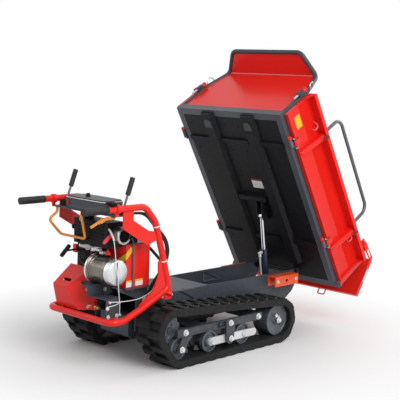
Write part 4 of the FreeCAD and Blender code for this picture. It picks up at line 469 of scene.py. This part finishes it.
# Lever boots: ribbed rubber boots over the foot of each drive lever, held by
# a ring to the console's wing.
form = bmesh.new()
for side in (-1, 1):
    lathe(form, [(0, 0), (0, 0.026), (0.004, 0.026), (0.006, 0.020), (0.010, 0.023), (0.014, 0.017), (0.018, 0.020),
                 (0.022, 0.014), (0.026, 0.016), (0.032, 0.009), (0.032, 0)], (-0.822, side * 0.222, 0.8055),
                 (0.35, 0, 1))
finished("lever_boots", form, grip_rubber)

# Handle clamps: a red band round each handle tube ahead of the grip, drawn
# tight by one screw from below.
HANDLE_Y = 0.249
form = bmesh.new()
for side in (-1, 1):
    lathe(form, [(0, 0.0165), (0, 0.0225), (0.004, 0.0235), (0.018, 0.0235), (0.022, 0.0225), (0.022, 0.0165)],
          (-0.884, side * HANDLE_Y, 0.840), (1, 0, 0))
    box_form(form, (-0.882, side * HANDLE_Y - 0.005, 0.804), (-0.864, side * HANDLE_Y + 0.005, 0.820))
finished("handle_clamps", form, red)

# Fasteners: hex heads on washers, sent to the places in short tables by one
# tree. Each point is found on the steel below it and faces away from it.
studs = bpy.data.node_groups.new("Fasteners", "GeometryNodeTree")
studs.interface.new_socket("Geometry", in_out="INPUT", socket_type="NodeSocketGeometry")
studs.interface.new_socket("Geometry", in_out="OUTPUT", socket_type="NodeSocketGeometry")
for label, kind, start in (("Sides", "NodeSocketInt", 6), ("Foot radius", NUMBER, 0.008),
                           ("Top radius", NUMBER, 0.0075),
                           ("Height", NUMBER, 0.006), ("Washer radius", NUMBER, 0.012),
                           ("Washer height", NUMBER, 0.0015)):
    studs.interface.new_socket(label, in_out="INPUT", socket_type=kind).default_value = start
studs.interface.new_socket("Finish", in_out="INPUT", socket_type="NodeSocketMaterial")
bench_in, bench_out = studs.nodes.new("NodeGroupInput"), studs.nodes.new("NodeGroupOutput")
bench = bench_in.outputs
head_form = node_of(studs, "GeometryNodeMeshCone", {
    "Vertices": bench["Sides"], "Radius Bottom": bench["Foot radius"], "Radius Top": bench["Top radius"],
    "Depth": bench["Height"]})
washer = node_of(studs, "GeometryNodeMeshCylinder", {
    "Vertices": 20, "Radius": bench["Washer radius"], "Depth": bench["Washer height"]})
stack = node_of(studs, "GeometryNodeJoinGeometry")
for form_in in (head_form, washer):
    studs.links.new(form_in.outputs["Mesh"], stack.inputs[0])
aim = node_of(studs, "GeometryNodeInputNamedAttribute", {"Name": "aim"}, data_type="FLOAT_VECTOR")
face_out = node_of(studs, "FunctionNodeAlignRotationToVector", {"Vector": aim.outputs["Attribute"]}, axis="Z")
send = node_of(studs, "GeometryNodeInstanceOnPoints", {
    "Points": bench["Geometry"], "Instance": stack.outputs[0], "Rotation": face_out.outputs["Rotation"]})
real = node_of(studs, "GeometryNodeRealizeInstances", {0: send.outputs["Instances"]})
paint_all = node_of(studs, "GeometryNodeSetMaterial", {"Geometry": real.outputs[0], "Material": bench["Finish"]})
studs.links.new(paint_all.outputs[0], bench_out.inputs["Geometry"])


def touch(names, start, way):
    """The first point of those CAD nodes along a way, and the face's direction there."""
    best = None
    for name in names:
        hit, place, facing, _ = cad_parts[name].ray_cast(Vector(start), Vector(way).normalized())
        if hit and (best is None or (place - Vector(start)).length < (best[0] - Vector(start)).length):
            best = (place, facing)
    return best


def run_tree(tree, name, mesh, values):
    """The form that a tree makes of a mesh, with its inputs set."""
    item = bpy.data.objects.new(name, mesh)
    bpy.context.scene.collection.objects.link(item)
    maker = item.modifiers.new(tree.name, "NODES")
    maker.node_group = tree
    keys = {socket.name: socket.identifier for socket in tree.interface.items_tree if socket.in_out == "INPUT"}
    for label, value in values.items():
        maker[keys[label]] = value
    return made_plain(item)


def studded(name, places, finish, head, washer, sides=6, body="chassis"):
    """Fasteners at (place, direction) pairs: head foot, top, height; washer radius, height."""
    mesh = bpy.data.meshes.new(name)
    mesh.from_pydata([place for place, _ in places], [], [])
    aims = mesh.attributes.new("aim", "FLOAT_VECTOR", "POINT").data
    aims.foreach_set("vector", [value for _, way in places for value in way])
    labels = ("Foot radius", "Top radius", "Height", "Washer radius", "Washer height")
    values = {"Sides": sides, **dict(zip(labels, (*head, *washer))), "Finish": finish}
    return finished(name, run_tree(studs, name + "_points", mesh, values), finish, body)


def found(names, starts, way, lift=0.0):
    """Pairs for studded: where each start meets the nodes, facing back."""
    pairs = []
    for start in starts:
        met = touch(names, start, way)
        if met:
            pairs.append((met[0] - Vector(way).normalized() * lift, tuple(-Vector(way).normalized())))
    return pairs


HANDS = ((-1, "right"), (1, "left"))
places = []
for side, hand in HANDS:
    gear = ["track_frame_" + hand, "rocker_" + hand, "rollers_" + hand, "idler_" + hand]
    places += found(gear, [(x, side * 0.5, z) for x, z in
                           ((-0.526, 0.100), (-0.291, 0.100), (-0.026, 0.100), (-0.158, 0.100), (-0.158, 0.185),
                            (0.272, 0.130),
                            (-0.50, 0.185), (0.075, 0.185))], (0, -side, 0), 0.0007)
studded("track_gear_nuts", places, zinc, (0.0125, 0.0118, 0.011), (0.017, 0.003))
places, rim_places = [], []
for side, hand in HANDS:
    rim_places += found(["sprocket_" + hand], [(-0.574 + 0.034 * math.cos(step * math.tau / 6), side * 0.5,
                                            0.200 + 0.034 * math.sin(step * math.tau / 6)) for step in range(6)],
                                            (0, -side, 0), 0.0005)
    places += found(["side_brackets"], [(x, side * 0.5, 0.304) for x in (0.440, 0.610)], (0, -side, 0), 0.0005)
places += found(["engine_base", "rear_cover", "chassis_frame"],
                [(-0.868, -0.5, 0.330), (-0.862, -0.5, 0.285), (-0.806, -0.5, 0.285),
                                                                (-0.780, -0.5, 0.398), (-0.720, -0.5, 0.416),
                                                                (-0.600, -0.5, 0.416)], (0, 1, 0), 0.0005)
places += found(["rear_cover"], [(-0.836, -0.5, 0.300), (-0.826, -0.5, 0.388)], (0, 1, 0), 0.0005)
places += found(["engine_block"], [(-0.62, 0.02, 0.7), (-0.62, 0.13, 0.7)], (0, 0, -1), 0.0005)
studded("sprocket_bolts", rim_places, wheel_steel, (0.0075, 0.007, 0.006), (0.011, 0.0016))
studded("chassis_bolts", places, zinc, (0.0075, 0.007, 0.006), (0.011, 0.0016))

places = found(["deck_cover"], [(x, y, 0.6) for x in (-0.54, -0.28, -0.01) for y in (-0.135, 0.135)], (0, 0, -1),
               0.0003)
studded("deck_rivets", places, steel, (0.006, 0.004, 0.0022), (0.007, 0.0006), sides=16)

# Idler brackets: a bright bent plate over each idler's axle end.
form = bmesh.new()
for side in (-1, 1):
    prism(form, [(0.246, 0.160), (0.262, 0.168), (0.270, 0.156), (0.288, 0.150), (0.293, 0.126), (0.278, 0.112),
                 (0.262, 0.120), (0.258, 0.142)],
          *sorted((side * 0.3605, side * 0.3665)), axis="y")
finished("idler_brackets", form, zinc, soft=0.0015)

# Punched holes: a shallow near black disc on each side bracket and a dark slot on
# each idler, painted shade where the openings are.
# Near black finish: painted shade for openings, slots and the canister's mouth.
hole_shade = finish_of("PaintedHoleShade", (0.004, 0.004, 0.004), 0.9, cloud_depth=0.2, sheen=0.1)
places = []
for side, hand in HANDS:
    places += found(["side_brackets"], [(0.522, side * 0.5, 0.304)], (0, -side, 0), 0.0003)
studded("punched_holes", places, hole_shade, (0.009, 0.009, 0.0008), (0.004, 0.0004), sides=20)
form = bmesh.new()
for side in (-1, 1):
    met = touch(["idler_right" if side < 0 else "idler_left"], (0.303, side * 0.5, 0.096), (0, -side, 0))
    prism(form, [(0.292, 0.108), (0.296, 0.112), (0.317, 0.086), (0.313, 0.082)],
          *sorted((met[0].y, met[0].y + side * 0.0008)), axis="y")
finished("idler_slots", form, hole_shade)

# Track guide horns: moulded rubber horns along the inside of both straight
# runs, which pass between the rims of the rollers.
places = []
for side, hand in HANDS:
    for step in range(9):
        x = -0.50 + step * 0.082
        places += [(place + Vector((0, 0, 0.011)), way) for place,
                   way in found(["track_" + hand], [(x, side * 0.305, 0.066)], (0, 0, -1))]
# Paler rubber: worn on the guide horns, a painted highlight on the lug tips.
worn_and_highlight_rubber = finish_of("WornAndHighlightRubber", (0.075, 0.075, 0.080), 0.55, cloud_depth=0.4, cloud_size=30.0, dust=0.25,
                        peel=420.0, bump=0.2,
                        dust_colour=(0.30, 0.29, 0.28, 1))
studded("guide_horns", places, worn_and_highlight_rubber, (0.020, 0.009, 0.024), (0.004, 0.001), sides=4)

# Lug tips: small chips of paler rubber on the lugs' front edges along the
# upper run, painted highlights where the lugs catch the light, found where the tread drops into a gap.
places = []
for side, hand in HANDS:
    for row_y in (0.372, 0.226):
        before = None
        for step in range(430):
            x = -0.560 + step * 0.002
            met = touch(["track_" + hand], (x, side * row_y, 0.5), (0, 0, -1))
            if met and before and before.z - met[0].z > 0.009:
                places.append((before + Vector((-0.001, 0, -0.003)), (0.35, 0, 1)))
            before = met[0] if met else None
studded("lug_tip_highlights", places, worn_and_highlight_rubber, (0.0060, 0.0030, 0.009), (0.001, 0.0004), sides=6)

# Starter cover: a black moulded dome on the engine's rear face, ringed in
# red, with slots round the rope's mouth drawn as near black discs of painted shade.
form = bmesh.new()
lathe(form, [(0, 0), (0, 0.057), (0.008, 0.057), (0.013, 0.053), (0.013, 0)], (-0.788, 0.076, 0.558), (-1, 0, 0), 40)
finished("starter_ring", form, dark_red)
form = bmesh.new()
lathe(form, [(0.002, 0), (0.002, 0.050), (0.017, 0.048), (0.022, 0.040), (0.024, 0.016), (0.024, 0)],
      (-0.788, 0.076, 0.558), (-1, 0, 0), 40)
finished("starter_cover", form, black_plastic)
places = [(Vector((-0.8116, 0.076 + 0.029 * math.cos(step * math.tau / 12),
                   0.558 + 0.029 * math.sin(step * math.tau / 12))), (-1, 0, 0))
          for step in range(12)]
studded("starter_slots", places, hole_shade, (0.0048, 0.0048, 0.001), (0.002, 0.0004), sides=10)

# Cooling fins: thin cast plates on the engine's front and left faces, set in
# rows by one tree.
fins = bpy.data.node_groups.new("FinRow", "GeometryNodeTree")
fins.interface.new_socket("Geometry", in_out="INPUT", socket_type="NodeSocketGeometry")
fins.interface.new_socket("Geometry", in_out="OUTPUT", socket_type="NodeSocketGeometry")
for label, kind, start in (("Count", "NodeSocketInt", 8), ("Start", "NodeSocketVector", (0, 0, 0)),
                           ("Step", "NodeSocketVector", (0, 0, 0.01)), ("Size", "NodeSocketVector", (0.01, 0.1, 0.002)),
                           ("Finish", "NodeSocketMaterial", None)):
    socket = fins.interface.new_socket(label, in_out="INPUT", socket_type=kind)
    if start is not None:
        socket.default_value = start
fin_in, fin_out = fins.nodes.new("NodeGroupInput"), fins.nodes.new("NodeGroupOutput")
rack = fin_in.outputs
row = node_of(fins, "GeometryNodeMeshLine", {
    "Count": rack["Count"], "Start Location": rack["Start"], "Offset": rack["Step"]}, mode="OFFSET")
fin = node_of(fins, "GeometryNodeMeshCube", {"Size": rack["Size"]})
spread = node_of(fins, "GeometryNodeInstanceOnPoints", {
    "Points": row.outputs["Mesh"], "Instance": fin.outputs["Mesh"]})
solid = node_of(fins, "GeometryNodeRealizeInstances", {0: spread.outputs["Instances"]})
fin_paint = node_of(fins, "GeometryNodeSetMaterial", {"Geometry": solid.outputs[0], "Material": rack["Finish"]})
fins.links.new(fin_paint.outputs[0], fin_out.inputs["Geometry"])


def fin_row(name, count, start, step, size, finish, soft=0.0006):
    """A row of like plates as one plain mesh with soft edges."""
    mesh = bpy.data.meshes.new(name)
    mesh.from_pydata([(0, 0, 0)], [], [])
    values = {"Count": count, "Start": start, "Step": step, "Size": size, "Finish": finish}
    return finished(name, run_tree(fins, name + "_seed", mesh, values), finish, soft=soft)


cast = finish_of("CastAlloy", (0.20, 0.20, 0.205), 0.45, metal=0.6, cloud_depth=0.3, cloud_size=20.0, dust=0.15)
fin_row("front_fins", 12, (-0.590, 0.006, 0.520), (0, 0.0118, 0), (0.014, 0.0028, 0.150), cast)
fin_row("left_fins", 11, (-0.692, 0.156, 0.470), (0, 0, 0.0118), (0.150, 0.014, 0.0028), cast)
fin_row("fuel_box_ribs", 6, (-0.840, -0.010, 0.655), (0, 0, 0.018), (0.006, 0.200, 0.006), black_plastic, soft=0.0015)

# Carburettor and linkage: bright cast bodies with a bowl and throttle rod in
# the gap under the fuel box, and the red fittings beside them.
form = bmesh.new()
box_form(form, (-0.812, 0.022, 0.594), (-0.787, 0.066, 0.622))
lathe(form, [(0, 0), (0, 0.013), (0.046, 0.013), (0.046, 0)], (-0.803, 0.062, 0.606), (0, 1, 0), 20)
lathe(form, [(0, 0), (0, 0.015), (0.004, 0.018), (0.020, 0.018), (0.020, 0)], (-0.806, -0.004, 0.590), (0, 0, 1), 24)
box_form(form, (-0.816, -0.044, 0.596), (-0.787, -0.020, 0.618))
lathe(form, [(0, 0), (0, 0.009), (0.030, 0.009), (0.030, 0)], (-0.812, -0.064, 0.602), (0, 1, 0), 16)
box_form(form, (-0.812, -0.078, 0.5835), (-0.790, -0.050, 0.598))
finished("carburettor", form, alloy, soft=0.0012)
drawn("throttle_rods", [[(-0.820, 0.100, 0.610), (-0.822, 0.050, 0.617), (-0.822, 0.0, 0.612), (-0.818, -0.060, 0.616)],
                        [(-0.818, 0.020, 0.600), (-0.824, 0.030, 0.588), (-0.820, 0.050, 0.598)]], 0.0018, bright_steel)
form = bmesh.new()
box_form(form, (-0.812, -0.116, 0.5835), (-0.792, -0.096, 0.600))
lathe(form, [(0, 0), (0, 0.006), (0.016, 0.005), (0.018, 0)], (-0.802, -0.106, 0.598), (0, 0, 1), 16)
box_form(form, (-0.806, 0.142, 0.560), (-0.788, 0.168, 0.604))
finished("red_fittings", form, red, soft=0.002)

# Fuel box: moulded cap on top, a choke knob at its far edge, and two spring
# clips that hold the filter lid.
form = bmesh.new()
lathe(form, [(0, 0), (0, 0.030), (0.004, 0.033), (0.014, 0.033), (0.018, 0.028), (0.018, 0)], (-0.792, 0.060, 0.773),
      (0, 0, 1), 32)
lathe(form, [(0, 0), (0, 0.007), (0.012, 0.007), (0.013, 0.013), (0.021, 0.013), (0.023, 0.008), (0.023, 0)],
      (-0.826, 0.120, 0.702), (0, 1, 0), 20)
box_form(form, (-0.846, 0.080, 0.632), (-0.836, 0.112, 0.650))
finished("fuel_cap_and_choke", form, black_plastic, soft=0.001)
drawn("filter_clips", [[(-0.8395, y, 0.770), (-0.848, y, 0.758), (-0.847, y, 0.744),
                        (-0.839, y, 0.738)] for y in (-0.085, 0.065)],
      0.0022, bright_steel)

# Canister mouth: a bright rolled C-shaped band round a black disc, painted shade inside the mouth.
band = [(-0.772 + 0.040 * math.cos(math.radians(angle)), -0.1925, 0.690 + 0.040 * math.sin(math.radians(angle)))
        for angle in range(40, 331, 29)]
drawn("canister_band", [band], 0.0065, alloy)
form = bmesh.new()
lathe(form, [(0, 0), (0, 0.034), (0.0025, 0.033), (0.0025, 0)], (-0.772, -0.1915, 0.690), (0, -1, 0), 32)
finished("canister_mouth_shade", form, hole_shade)

# Fuel tap lever: a flat pink-red lever on a boss beside the fuel box.
pink = finish_of("PinkRedPlastic", (0.72, 0.035, 0.075), 0.35, cloud_depth=0.08, dust=0.02)
form = bmesh.new()
prism(form, [(-0.812, 0.700), (-0.824, 0.704), (-0.872, 0.668), (-0.874, 0.654), (-0.862, 0.650), (-0.816, 0.683)],
      -0.152, -0.146, "y")
lathe(form, [(0, 0), (0, 0.011), (0.014, 0.011), (0.016, 0)], (-0.821, -0.141, 0.693), (0, -1, 0), 20)
finished("fuel_tap_lever", form, pink, soft=0.0015)

# Air filter: a black moulded case on the red box's top, closed by a wing nut.
form = bmesh.new()
prism(form, [(-0.731, -0.167), (-0.562, -0.167), (-0.562, -0.038), (-0.731, -0.038)], 0.6315, 0.639, "z")
finished("box_lid", form, dark_red, soft=0.002)
form = bmesh.new()
prism(form, [(-0.722, -0.150), (-0.640, -0.150), (-0.632, -0.140), (-0.632, -0.052), (-0.640, -0.044), (-0.722, -0.044),
             (-0.730, -0.052), (-0.730, -0.140)], 0.638, 0.712, "z")
prism(form, [(-0.716, -0.144), (-0.644, -0.144), (-0.638, -0.136), (-0.638, -0.056), (-0.644, -0.050), (-0.716, -0.050),
             (-0.724, -0.056), (-0.724, -0.136)], 0.711, 0.726, "z")
lathe(form, [(0, 0), (0, 0.006), (0.010, 0.006), (0.010, 0)], (-0.681, -0.097, 0.725), (0, 0, 1), 16)
box_form(form, (-0.697, -0.099, 0.728), (-0.665, -0.095, 0.740))
finished("air_filter", form, black_plastic, soft=0.003)

# Red box: blank plates and a bent dipstick rod down its right face.
white = finish_of("WhitePlate", (0.80, 0.80, 0.78), 0.4, cloud_depth=0.06, dust=0.04)
yellow = finish_of("YellowPlate", (0.82, 0.50, 0.012), 0.38, cloud_depth=0.12, cloud_size=30.0, dust=0.04)
form = bmesh.new()
prism(form, [(-0.7295, 0.556), (-0.7295, 0.592), (-0.700, 0.622), (-0.668, 0.622), (-0.688, 0.598)], -0.1658, -0.1648,
      "y")
prism(form, [(-0.1655, 0.556), (-0.1655, 0.592), (-0.112, 0.562), (-0.104, 0.546), (-0.118, 0.540)], -0.7300, -0.7288,
      "x")
box_form(form, (-0.724, -0.1658, 0.439), (-0.672, -0.1648, 0.448))
box_form(form, (-0.662, -0.1658, 0.441), (-0.610, -0.1648, 0.450))
finished("yellow_plates", form, yellow)
form = bmesh.new()
box_form(form, (-0.724, -0.1657, 0.414), (-0.672, -0.1648, 0.4385))
box_form(form, (-0.662, -0.1657, 0.416), (-0.610, -0.1648, 0.4405))
finished("white_plates", form, white)
drawn("dipstick_rod", [[(-0.682, -0.150, 0.660), (-0.684, -0.1695, 0.652), (-0.684, -0.1705, 0.60),
                        (-0.683, -0.1705, 0.45),
                        (-0.683, -0.1705, 0.400), (-0.683, -0.166, 0.392)]], 0.0055, grey_tube)

# Drum: a dark clamp strip across the end cap.
form = bmesh.new()
box_form(form, (-0.8135, -0.1925, 0.447), (-0.8085, -0.186, 0.559))
finished("drum_strip", form, gear_steel, soft=0.0008)

# Drain cock: a red lobed knob on a brass stem in the recess of the base.
brass = finish_of("Brass", (0.52, 0.36, 0.13), 0.35, metal=0.85, cloud_depth=0.2, dust=0.1)
form = bmesh.new()
lathe(form, [(0, 0), (0, 0.006), (0.056, 0.006), (0.056, 0.012), (0.068, 0.012), (0.068, 0.008), (0.086, 0.008),
             (0.086, 0)],
      (-0.846, -0.014, 0.312), (0, -1, 0), 20)
finished("drain_stem", form, brass)
form = bmesh.new()
for step in range(5):
    lathe(form, [(0, 0), (0, 0.008), (0.014, 0.008), (0.015, 0)],
          (-0.846 + 0.011 * math.cos(step * math.tau / 5), -0.050, 0.312 + 0.011 * math.sin(step * math.tau / 5)),
          (0, -1, 0), 14)
finished("drain_knob", form, red)

# Cables: white sheathed control cables down to the base and round the tube,
# clamped at both ends, so they move with the machine.
sheath = finish_of("WhiteSheath", (0.78, 0.78, 0.76), 0.4, cloud_depth=0.15, dust=0.12)
drawn("control_cables", [
    [(-0.832, -0.150, 0.722), (-0.838, -0.186, 0.690), (-0.837, -0.197, 0.640), (-0.828, -0.200, 0.560),
     (-0.815, -0.202, 0.480),
     (-0.806, -0.201, 0.400), (-0.794, -0.198, 0.330), (-0.788, -0.189, 0.288)],
    [(-0.858, -0.190, 0.362), (-0.830, -0.204, 0.360), (-0.780, -0.210, 0.358), (-0.700, -0.214, 0.356),
     (-0.640, -0.218, 0.368),
     (-0.588, -0.224, 0.396), (-0.556, -0.230, 0.440), (-0.541, -0.236, 0.485), (-0.545, -0.240, 0.520)],
    [(-0.860, -0.188, 0.338), (-0.830, -0.198, 0.342), (-0.796, -0.196, 0.350), (-0.790, -0.187, 0.352)]], 0.0022,
    sheath)
drawn("lead_boot", [[(-0.831, -0.143, 0.724), (-0.836, -0.176, 0.704), (-0.838, -0.192, 0.672)]], 0.0052, sheath)
form = bmesh.new()
for centre, way in (((-0.858, -0.189, 0.360), (0, -1, 0)), ((-0.788, -0.186, 0.288), (0, -1, 0)),
                    ((-0.790, -0.185, 0.352), (0, -1, 0))):
    lathe(form, [(0, 0), (0, 0.007), (0.009, 0.006), (0.009, 0)], centre, way, 14)
finished("cable_ends", form, zinc)

# Hoses along the handle: two black hoses on the inner side of the right
# tube, bound to it by white ties, down to a block on the chassis plate.
drawn("handle_hoses", [
    [(-0.770 + shift, -0.204, 0.803), (-0.705 + shift, -0.215, 0.808), (-0.652 + shift, -0.222, 0.792),
     (-0.612 + shift, -0.224, 0.750),
     (-0.572 + shift, -0.225, 0.706), (-0.520 + shift, -0.226, 0.655), (-0.496 + shift, -0.224, 0.590),
     (-0.512 + shift, -0.222, 0.525),
     (-0.548 + shift, -0.216, 0.470), (-0.582 + shift, -0.206, 0.425), (-0.592 + shift, -0.190, 0.385),
     (-0.592 + shift, -0.176, 0.346)]
    for shift in (0.0, 0.013)], 0.0066, grip_rubber)
form = bmesh.new()
for centre, way in (((-0.6037, 0.7337), (0.3117, -0.9502)), ((-0.5437, 0.548), (0.2733, -0.9619))):
    lathe(form, [(-0.003, 0.0168), (-0.003, 0.0195), (0.003, 0.0195), (0.003, 0.0168)],
          (centre[0], -HANDLE_Y, centre[1]), (way[0], 0, way[1]), 32)
finished("cable_ties", form, white)
form = bmesh.new()
box_form(form, (-0.606, -0.192, 0.322), (-0.566, -0.1585, 0.352))
finished("hose_block", form, zinc, soft=0.002)

# Oil elbow: a white-plated elbow that leads the pipe into the barrel.
elbow = finish_of("PlatedElbow", (0.82, 0.82, 0.80), 0.3, metal=0.2, cloud_depth=0.1, dust=0.05)
form = bmesh.new()
lathe(form, [(0, 0), (0, 0.0085), (0.006, 0.0095), (0.016, 0.0095), (0.018, 0.0075), (0.034, 0.0075), (0.034, 0)],
      (0.466, -0.040, 0.4465), (0.988, 0, 0.154), 18)
lathe(form, [(0, 0), (0, 0.008), (0.020, 0.008), (0.022, 0)], (0.4755, -0.040, 0.4445), (0.154, 0, -0.988), 18)
finished("oil_elbow", form, elbow, "lift_tube")

# Frame stubs: a short red boss on each handle tube's foot with a bright
# bolt in its end.
form = bmesh.new()
for side in (-1, 1):
    lathe(form, [(0, 0), (0, 0.0125), (0.040, 0.0125), (0.042, 0.0105), (0.042, 0)], (-0.524, side * HANDLE_Y, 0.378),
          (0.93, 0, -0.36), 20)
finished("frame_stubs", form, red)
studded("frame_stub_bolts", [((-0.4838, side * HANDLE_Y, 0.3624), (0.93, 0, -0.36)) for side in (-1, 1)], zinc,
        (0.0085, 0.008, 0.008), (0.0115, 0.002))

# Deck gusset: a pressed triangle welded on each chassis plate.
form = bmesh.new()
for side in (-1, 1):
    prism(form, [(-0.330, 0.3455), (-0.215, 0.3455), (-0.215, 0.286)], *sorted((side * 0.1585, side * 0.1665)),
          axis="y")
finished("plate_gussets", form, steel, soft=0.0015)

# Trough gusset: a folded triangle with a rim, welded across the far wall
# inside the open trough to stiffen it.
form = bmesh.new()
prism(form, [(0.175, 0.342), (0.184, 0.342), (0.184, 0.284), (0.330, 0.284), (0.330, 0.275), (0.175, 0.275)], 0.140,
      0.1535, "y")
prism(form, [(0.175, 0.342), (0.184, 0.342), (0.330, 0.284), (0.322, 0.280)], 0.140, 0.1535, "y")
finished("trough_gusset", form, wheel_steel, soft=0.001)
form = bmesh.new()
prism(form, [(0.184, 0.334), (0.316, 0.284), (0.184, 0.284)], 0.149, 0.1535, "y")
finished("trough_gusset_web", form, gear_steel)

# Headboard latches: on each corner a dark slide with a bright bolt and a red
# knob, and a wire eye above it for a tarpaulin's cord.
form = bmesh.new()
for side in (-1, 1):
    box_form(form, (-1.222, side * 0.390 - 0.012, 0.196), (-1.196, side * 0.390 + 0.012, 0.246), raised)
finished("latch_slides", form, gear_steel, "bed", soft=0.002)
form = bmesh.new()
for side in (-1, 1):
    lathe(form, [(0, 0), (0, 0.0075), (0.060, 0.0075), (0.062, 0)], on_bed((-1.210, side * 0.390, 0.152)),
          turned @ Vector((0, 0, 1)), 18)
finished("latch_bolts", form, bright_steel, "bed")
form = bmesh.new()
for side in (-1, 1):
    lathe(form, [(0, 0), (0, 0.009), (0.010, 0.013), (0.026, 0.014), (0.032, 0.008), (0.032, 0)],
          on_bed((-1.210, side * 0.390, 0.246)), turned @ Vector((0, 0, 1)), 18)
finished("latch_knobs", form, red, "bed")
drawn("tarpaulin_eyes", [[on_bed(point) for point in
                          ((-1.186, side * 0.397, 0.296), (-1.214, side * 0.399, 0.302), (-1.222, side * 0.397, 0.325),
                           (-1.214, side * 0.392, 0.347),
                           (-1.188, side * 0.380, 0.350))] for side in (-1, 1)], 0.0032, bright_steel, "bed")

# Headboard bead: a rolled bead in the red sheet along the visor's crease, in a paler red as a painted highlight along
# the crease.
# Paler red: painted highlight on the bead, rubbed paint and painted highlight on the rope hooks.
rubbed_and_highlight_red = finish_of("RubbedAndHighlightRedPaint", (0.78, 0.20, 0.18), 0.3, cloud_depth=0.25, cloud_size=12.0, dust=0.05, coat=0.15)
drawn("visor_bead", [[on_bed((-1.1915, y, 0.4475)) for y in (-0.322, 0, 0.322)]], 0.0042, rubbed_and_highlight_red, "bed")

# Side panels: rings and hooks for ropes under the lip, a blank yellow plate,
# and the hinge pins' heads.
for side, hand in HANDS:
    body = "side_" + hand
    rings = []
    for s in (0.255, 0.920):
        rings.append([on_bed((-s + 0.013 * math.sin(angle * math.tau / 10),
                              side * (0.4735 + 0.0045 * math.cos(angle * math.tau / 10)),
                                       0.232 + 0.015 * math.cos(angle * math.tau / 10))) for angle in range(10)])
    drawn("rope_rings_" + hand, rings, 0.0032, gear_steel, body, closed=True)
    drawn("rope_hooks_" + hand, [[on_bed(point) for point in
                                  ((-s - 0.020, side * 0.409, 0.232), (-s - 0.012, side * 0.440, 0.226),
                                   (-s, side * 0.452, 0.208), (-s + 0.010, side * 0.440, 0.184),
                                   (-s + 0.004, side * 0.424, 0.192))] for s in (0.22, 1.00)], 0.0036, rubbed_and_highlight_red, body)
    places = []
    for s in (0.310, 1.000):
        for end, way in ((0.0275, -1), (-0.0275, 1)):
            places.append((on_bed((-s + end, side * 0.414, 0.034)), tuple(turned @ Vector((-way, 0, 0)))))
    studded("hinge_heads_" + hand, places, zinc, (0.0085, 0.0075, 0.006), (0.0095, 0.0016), sides=16, body=body)
form = bmesh.new()
box_form(form, (-1.128, -0.4106, 0.088), (-1.052, -0.4095, 0.137), raised)
finished("side_plate", form, yellow, "side_right")

# Panel catches: sprung bolts below the hinges on the bed's edge rails, with
# a dark bracket, a grey barrel and a red pull knob.
CATCHES = [(side, s) for side in (-1, 1) for s in (0.325, 1.018)]
form = bmesh.new()
for side, s in CATCHES:
    low_y, high_y = sorted((side * 0.399, side * 0.405))
    box_form(form, (-s - 0.034, low_y, -0.008), (-s + 0.034, high_y, 0.019), raised)
finished("catch_brackets", form, gear_steel, "bed", soft=0.001)
for name, finish, ahead, profile in (
        ("catch_barrels", wheel_steel, 0.020,
         [(0, 0), (0, 0.0105), (0.018, 0.0115), (0.046, 0.0115), (0.048, 0.008), (0.048, 0)]),
        ("catch_knobs", red, 0.042,
         [(0, 0), (0, 0.009), (0.004, 0.0115), (0.018, 0.0115), (0.022, 0.007), (0.022, 0)])):
    form = bmesh.new()
    for side, s in CATCHES:
        lathe(form, profile, on_bed((-s - ahead, side * 0.4135, 0.002)), turned @ Vector((1, 0, 0)), 18)
    finished(name, form, finish, "bed")

# Tailgate: thin white strips on its arms and ends, painted highlights along their edges.
swung = (raised @ Matrix.Translation((-0.095, 0, 0.322)) @ Matrix.Rotation(math.radians(-27.453), 4, "Y")
         @ Matrix.Translation((0.095, 0, -0.322)))
form = bmesh.new()
for side in (-1, 1):
    low_y, high_y = sorted((side * 0.4385, side * 0.4395))
    prism(form, [(-0.052, 0.300), (-0.046, 0.312), (0.004, 0.290), (0.002, 0.277)], low_y, high_y, "y", swung)
    low_y, high_y = sorted((side * 0.4435, side * 0.4446))
    box_form(form, (0.015, low_y, 0.120), (0.024, high_y, 0.205), swung)
finished("gate_highlight_strips", form, white, "tailgate_panel")

# Underside of the bed: rivet heads along the ribs, a blank plate with a red
# head, and covers on the hat ribs' ends.
places = []
up_way = turned @ Vector((0, 0, 1))
for s in (0.27, 0.45, 0.75, 0.93, 1.10):
    for y in (-0.32, -0.052, 0.052, 0.32):
        met = touch(["bed_floor", "bed_frame"], on_bed((-s, y, -0.2)), up_way)
        if met:
            places.append((met[0] - up_way * 0.0004, tuple(-up_way)))
# The rivets take the same painted shade as the bed's floor.
studded("bed_rivets", places, shaded_underside, (0.006, 0.0035, 0.003), (0.007, 0.0006), sides=12, body="bed")
met = touch(["bed_floor"], on_bed((-0.71, -0.052, -0.2)), up_way)
depth = (raised.inverted() @ met[0]).z
form = bmesh.new()
box_form(form, (-0.726, -0.092, depth - 0.0008), (-0.676, -0.012, depth + 0.0002), raised)
finished("floor_plate", form, white, "bed")
form = bmesh.new()
box_form(form, (-0.740, -0.092, depth - 0.0008), (-0.727, -0.012, depth + 0.0002), raised)
finished("floor_plate_head", form, dark_red, "bed")
form = bmesh.new()
for side in (-1, 1):
    met = touch(["bed_floor", "bed_frame"], on_bed((-1.10, side * 0.153, -0.2)), up_way)
    depth = (raised.inverted() @ met[0]).z
    outline = [(-1.125 + 0.024 * math.cos(math.radians(angle)),
                side * 0.153 + 0.026 * math.sin(math.radians(angle))) for angle in range(90, 271, 20)]
    prism(form, [(-1.095, side * 0.153 - 0.026), (-1.095, side * 0.153 + 0.026)] + outline, depth - 0.003,
          depth + 0.001, "z", raised)
finished("rib_end_covers", form, gear_steel, "bed", soft=0.001)
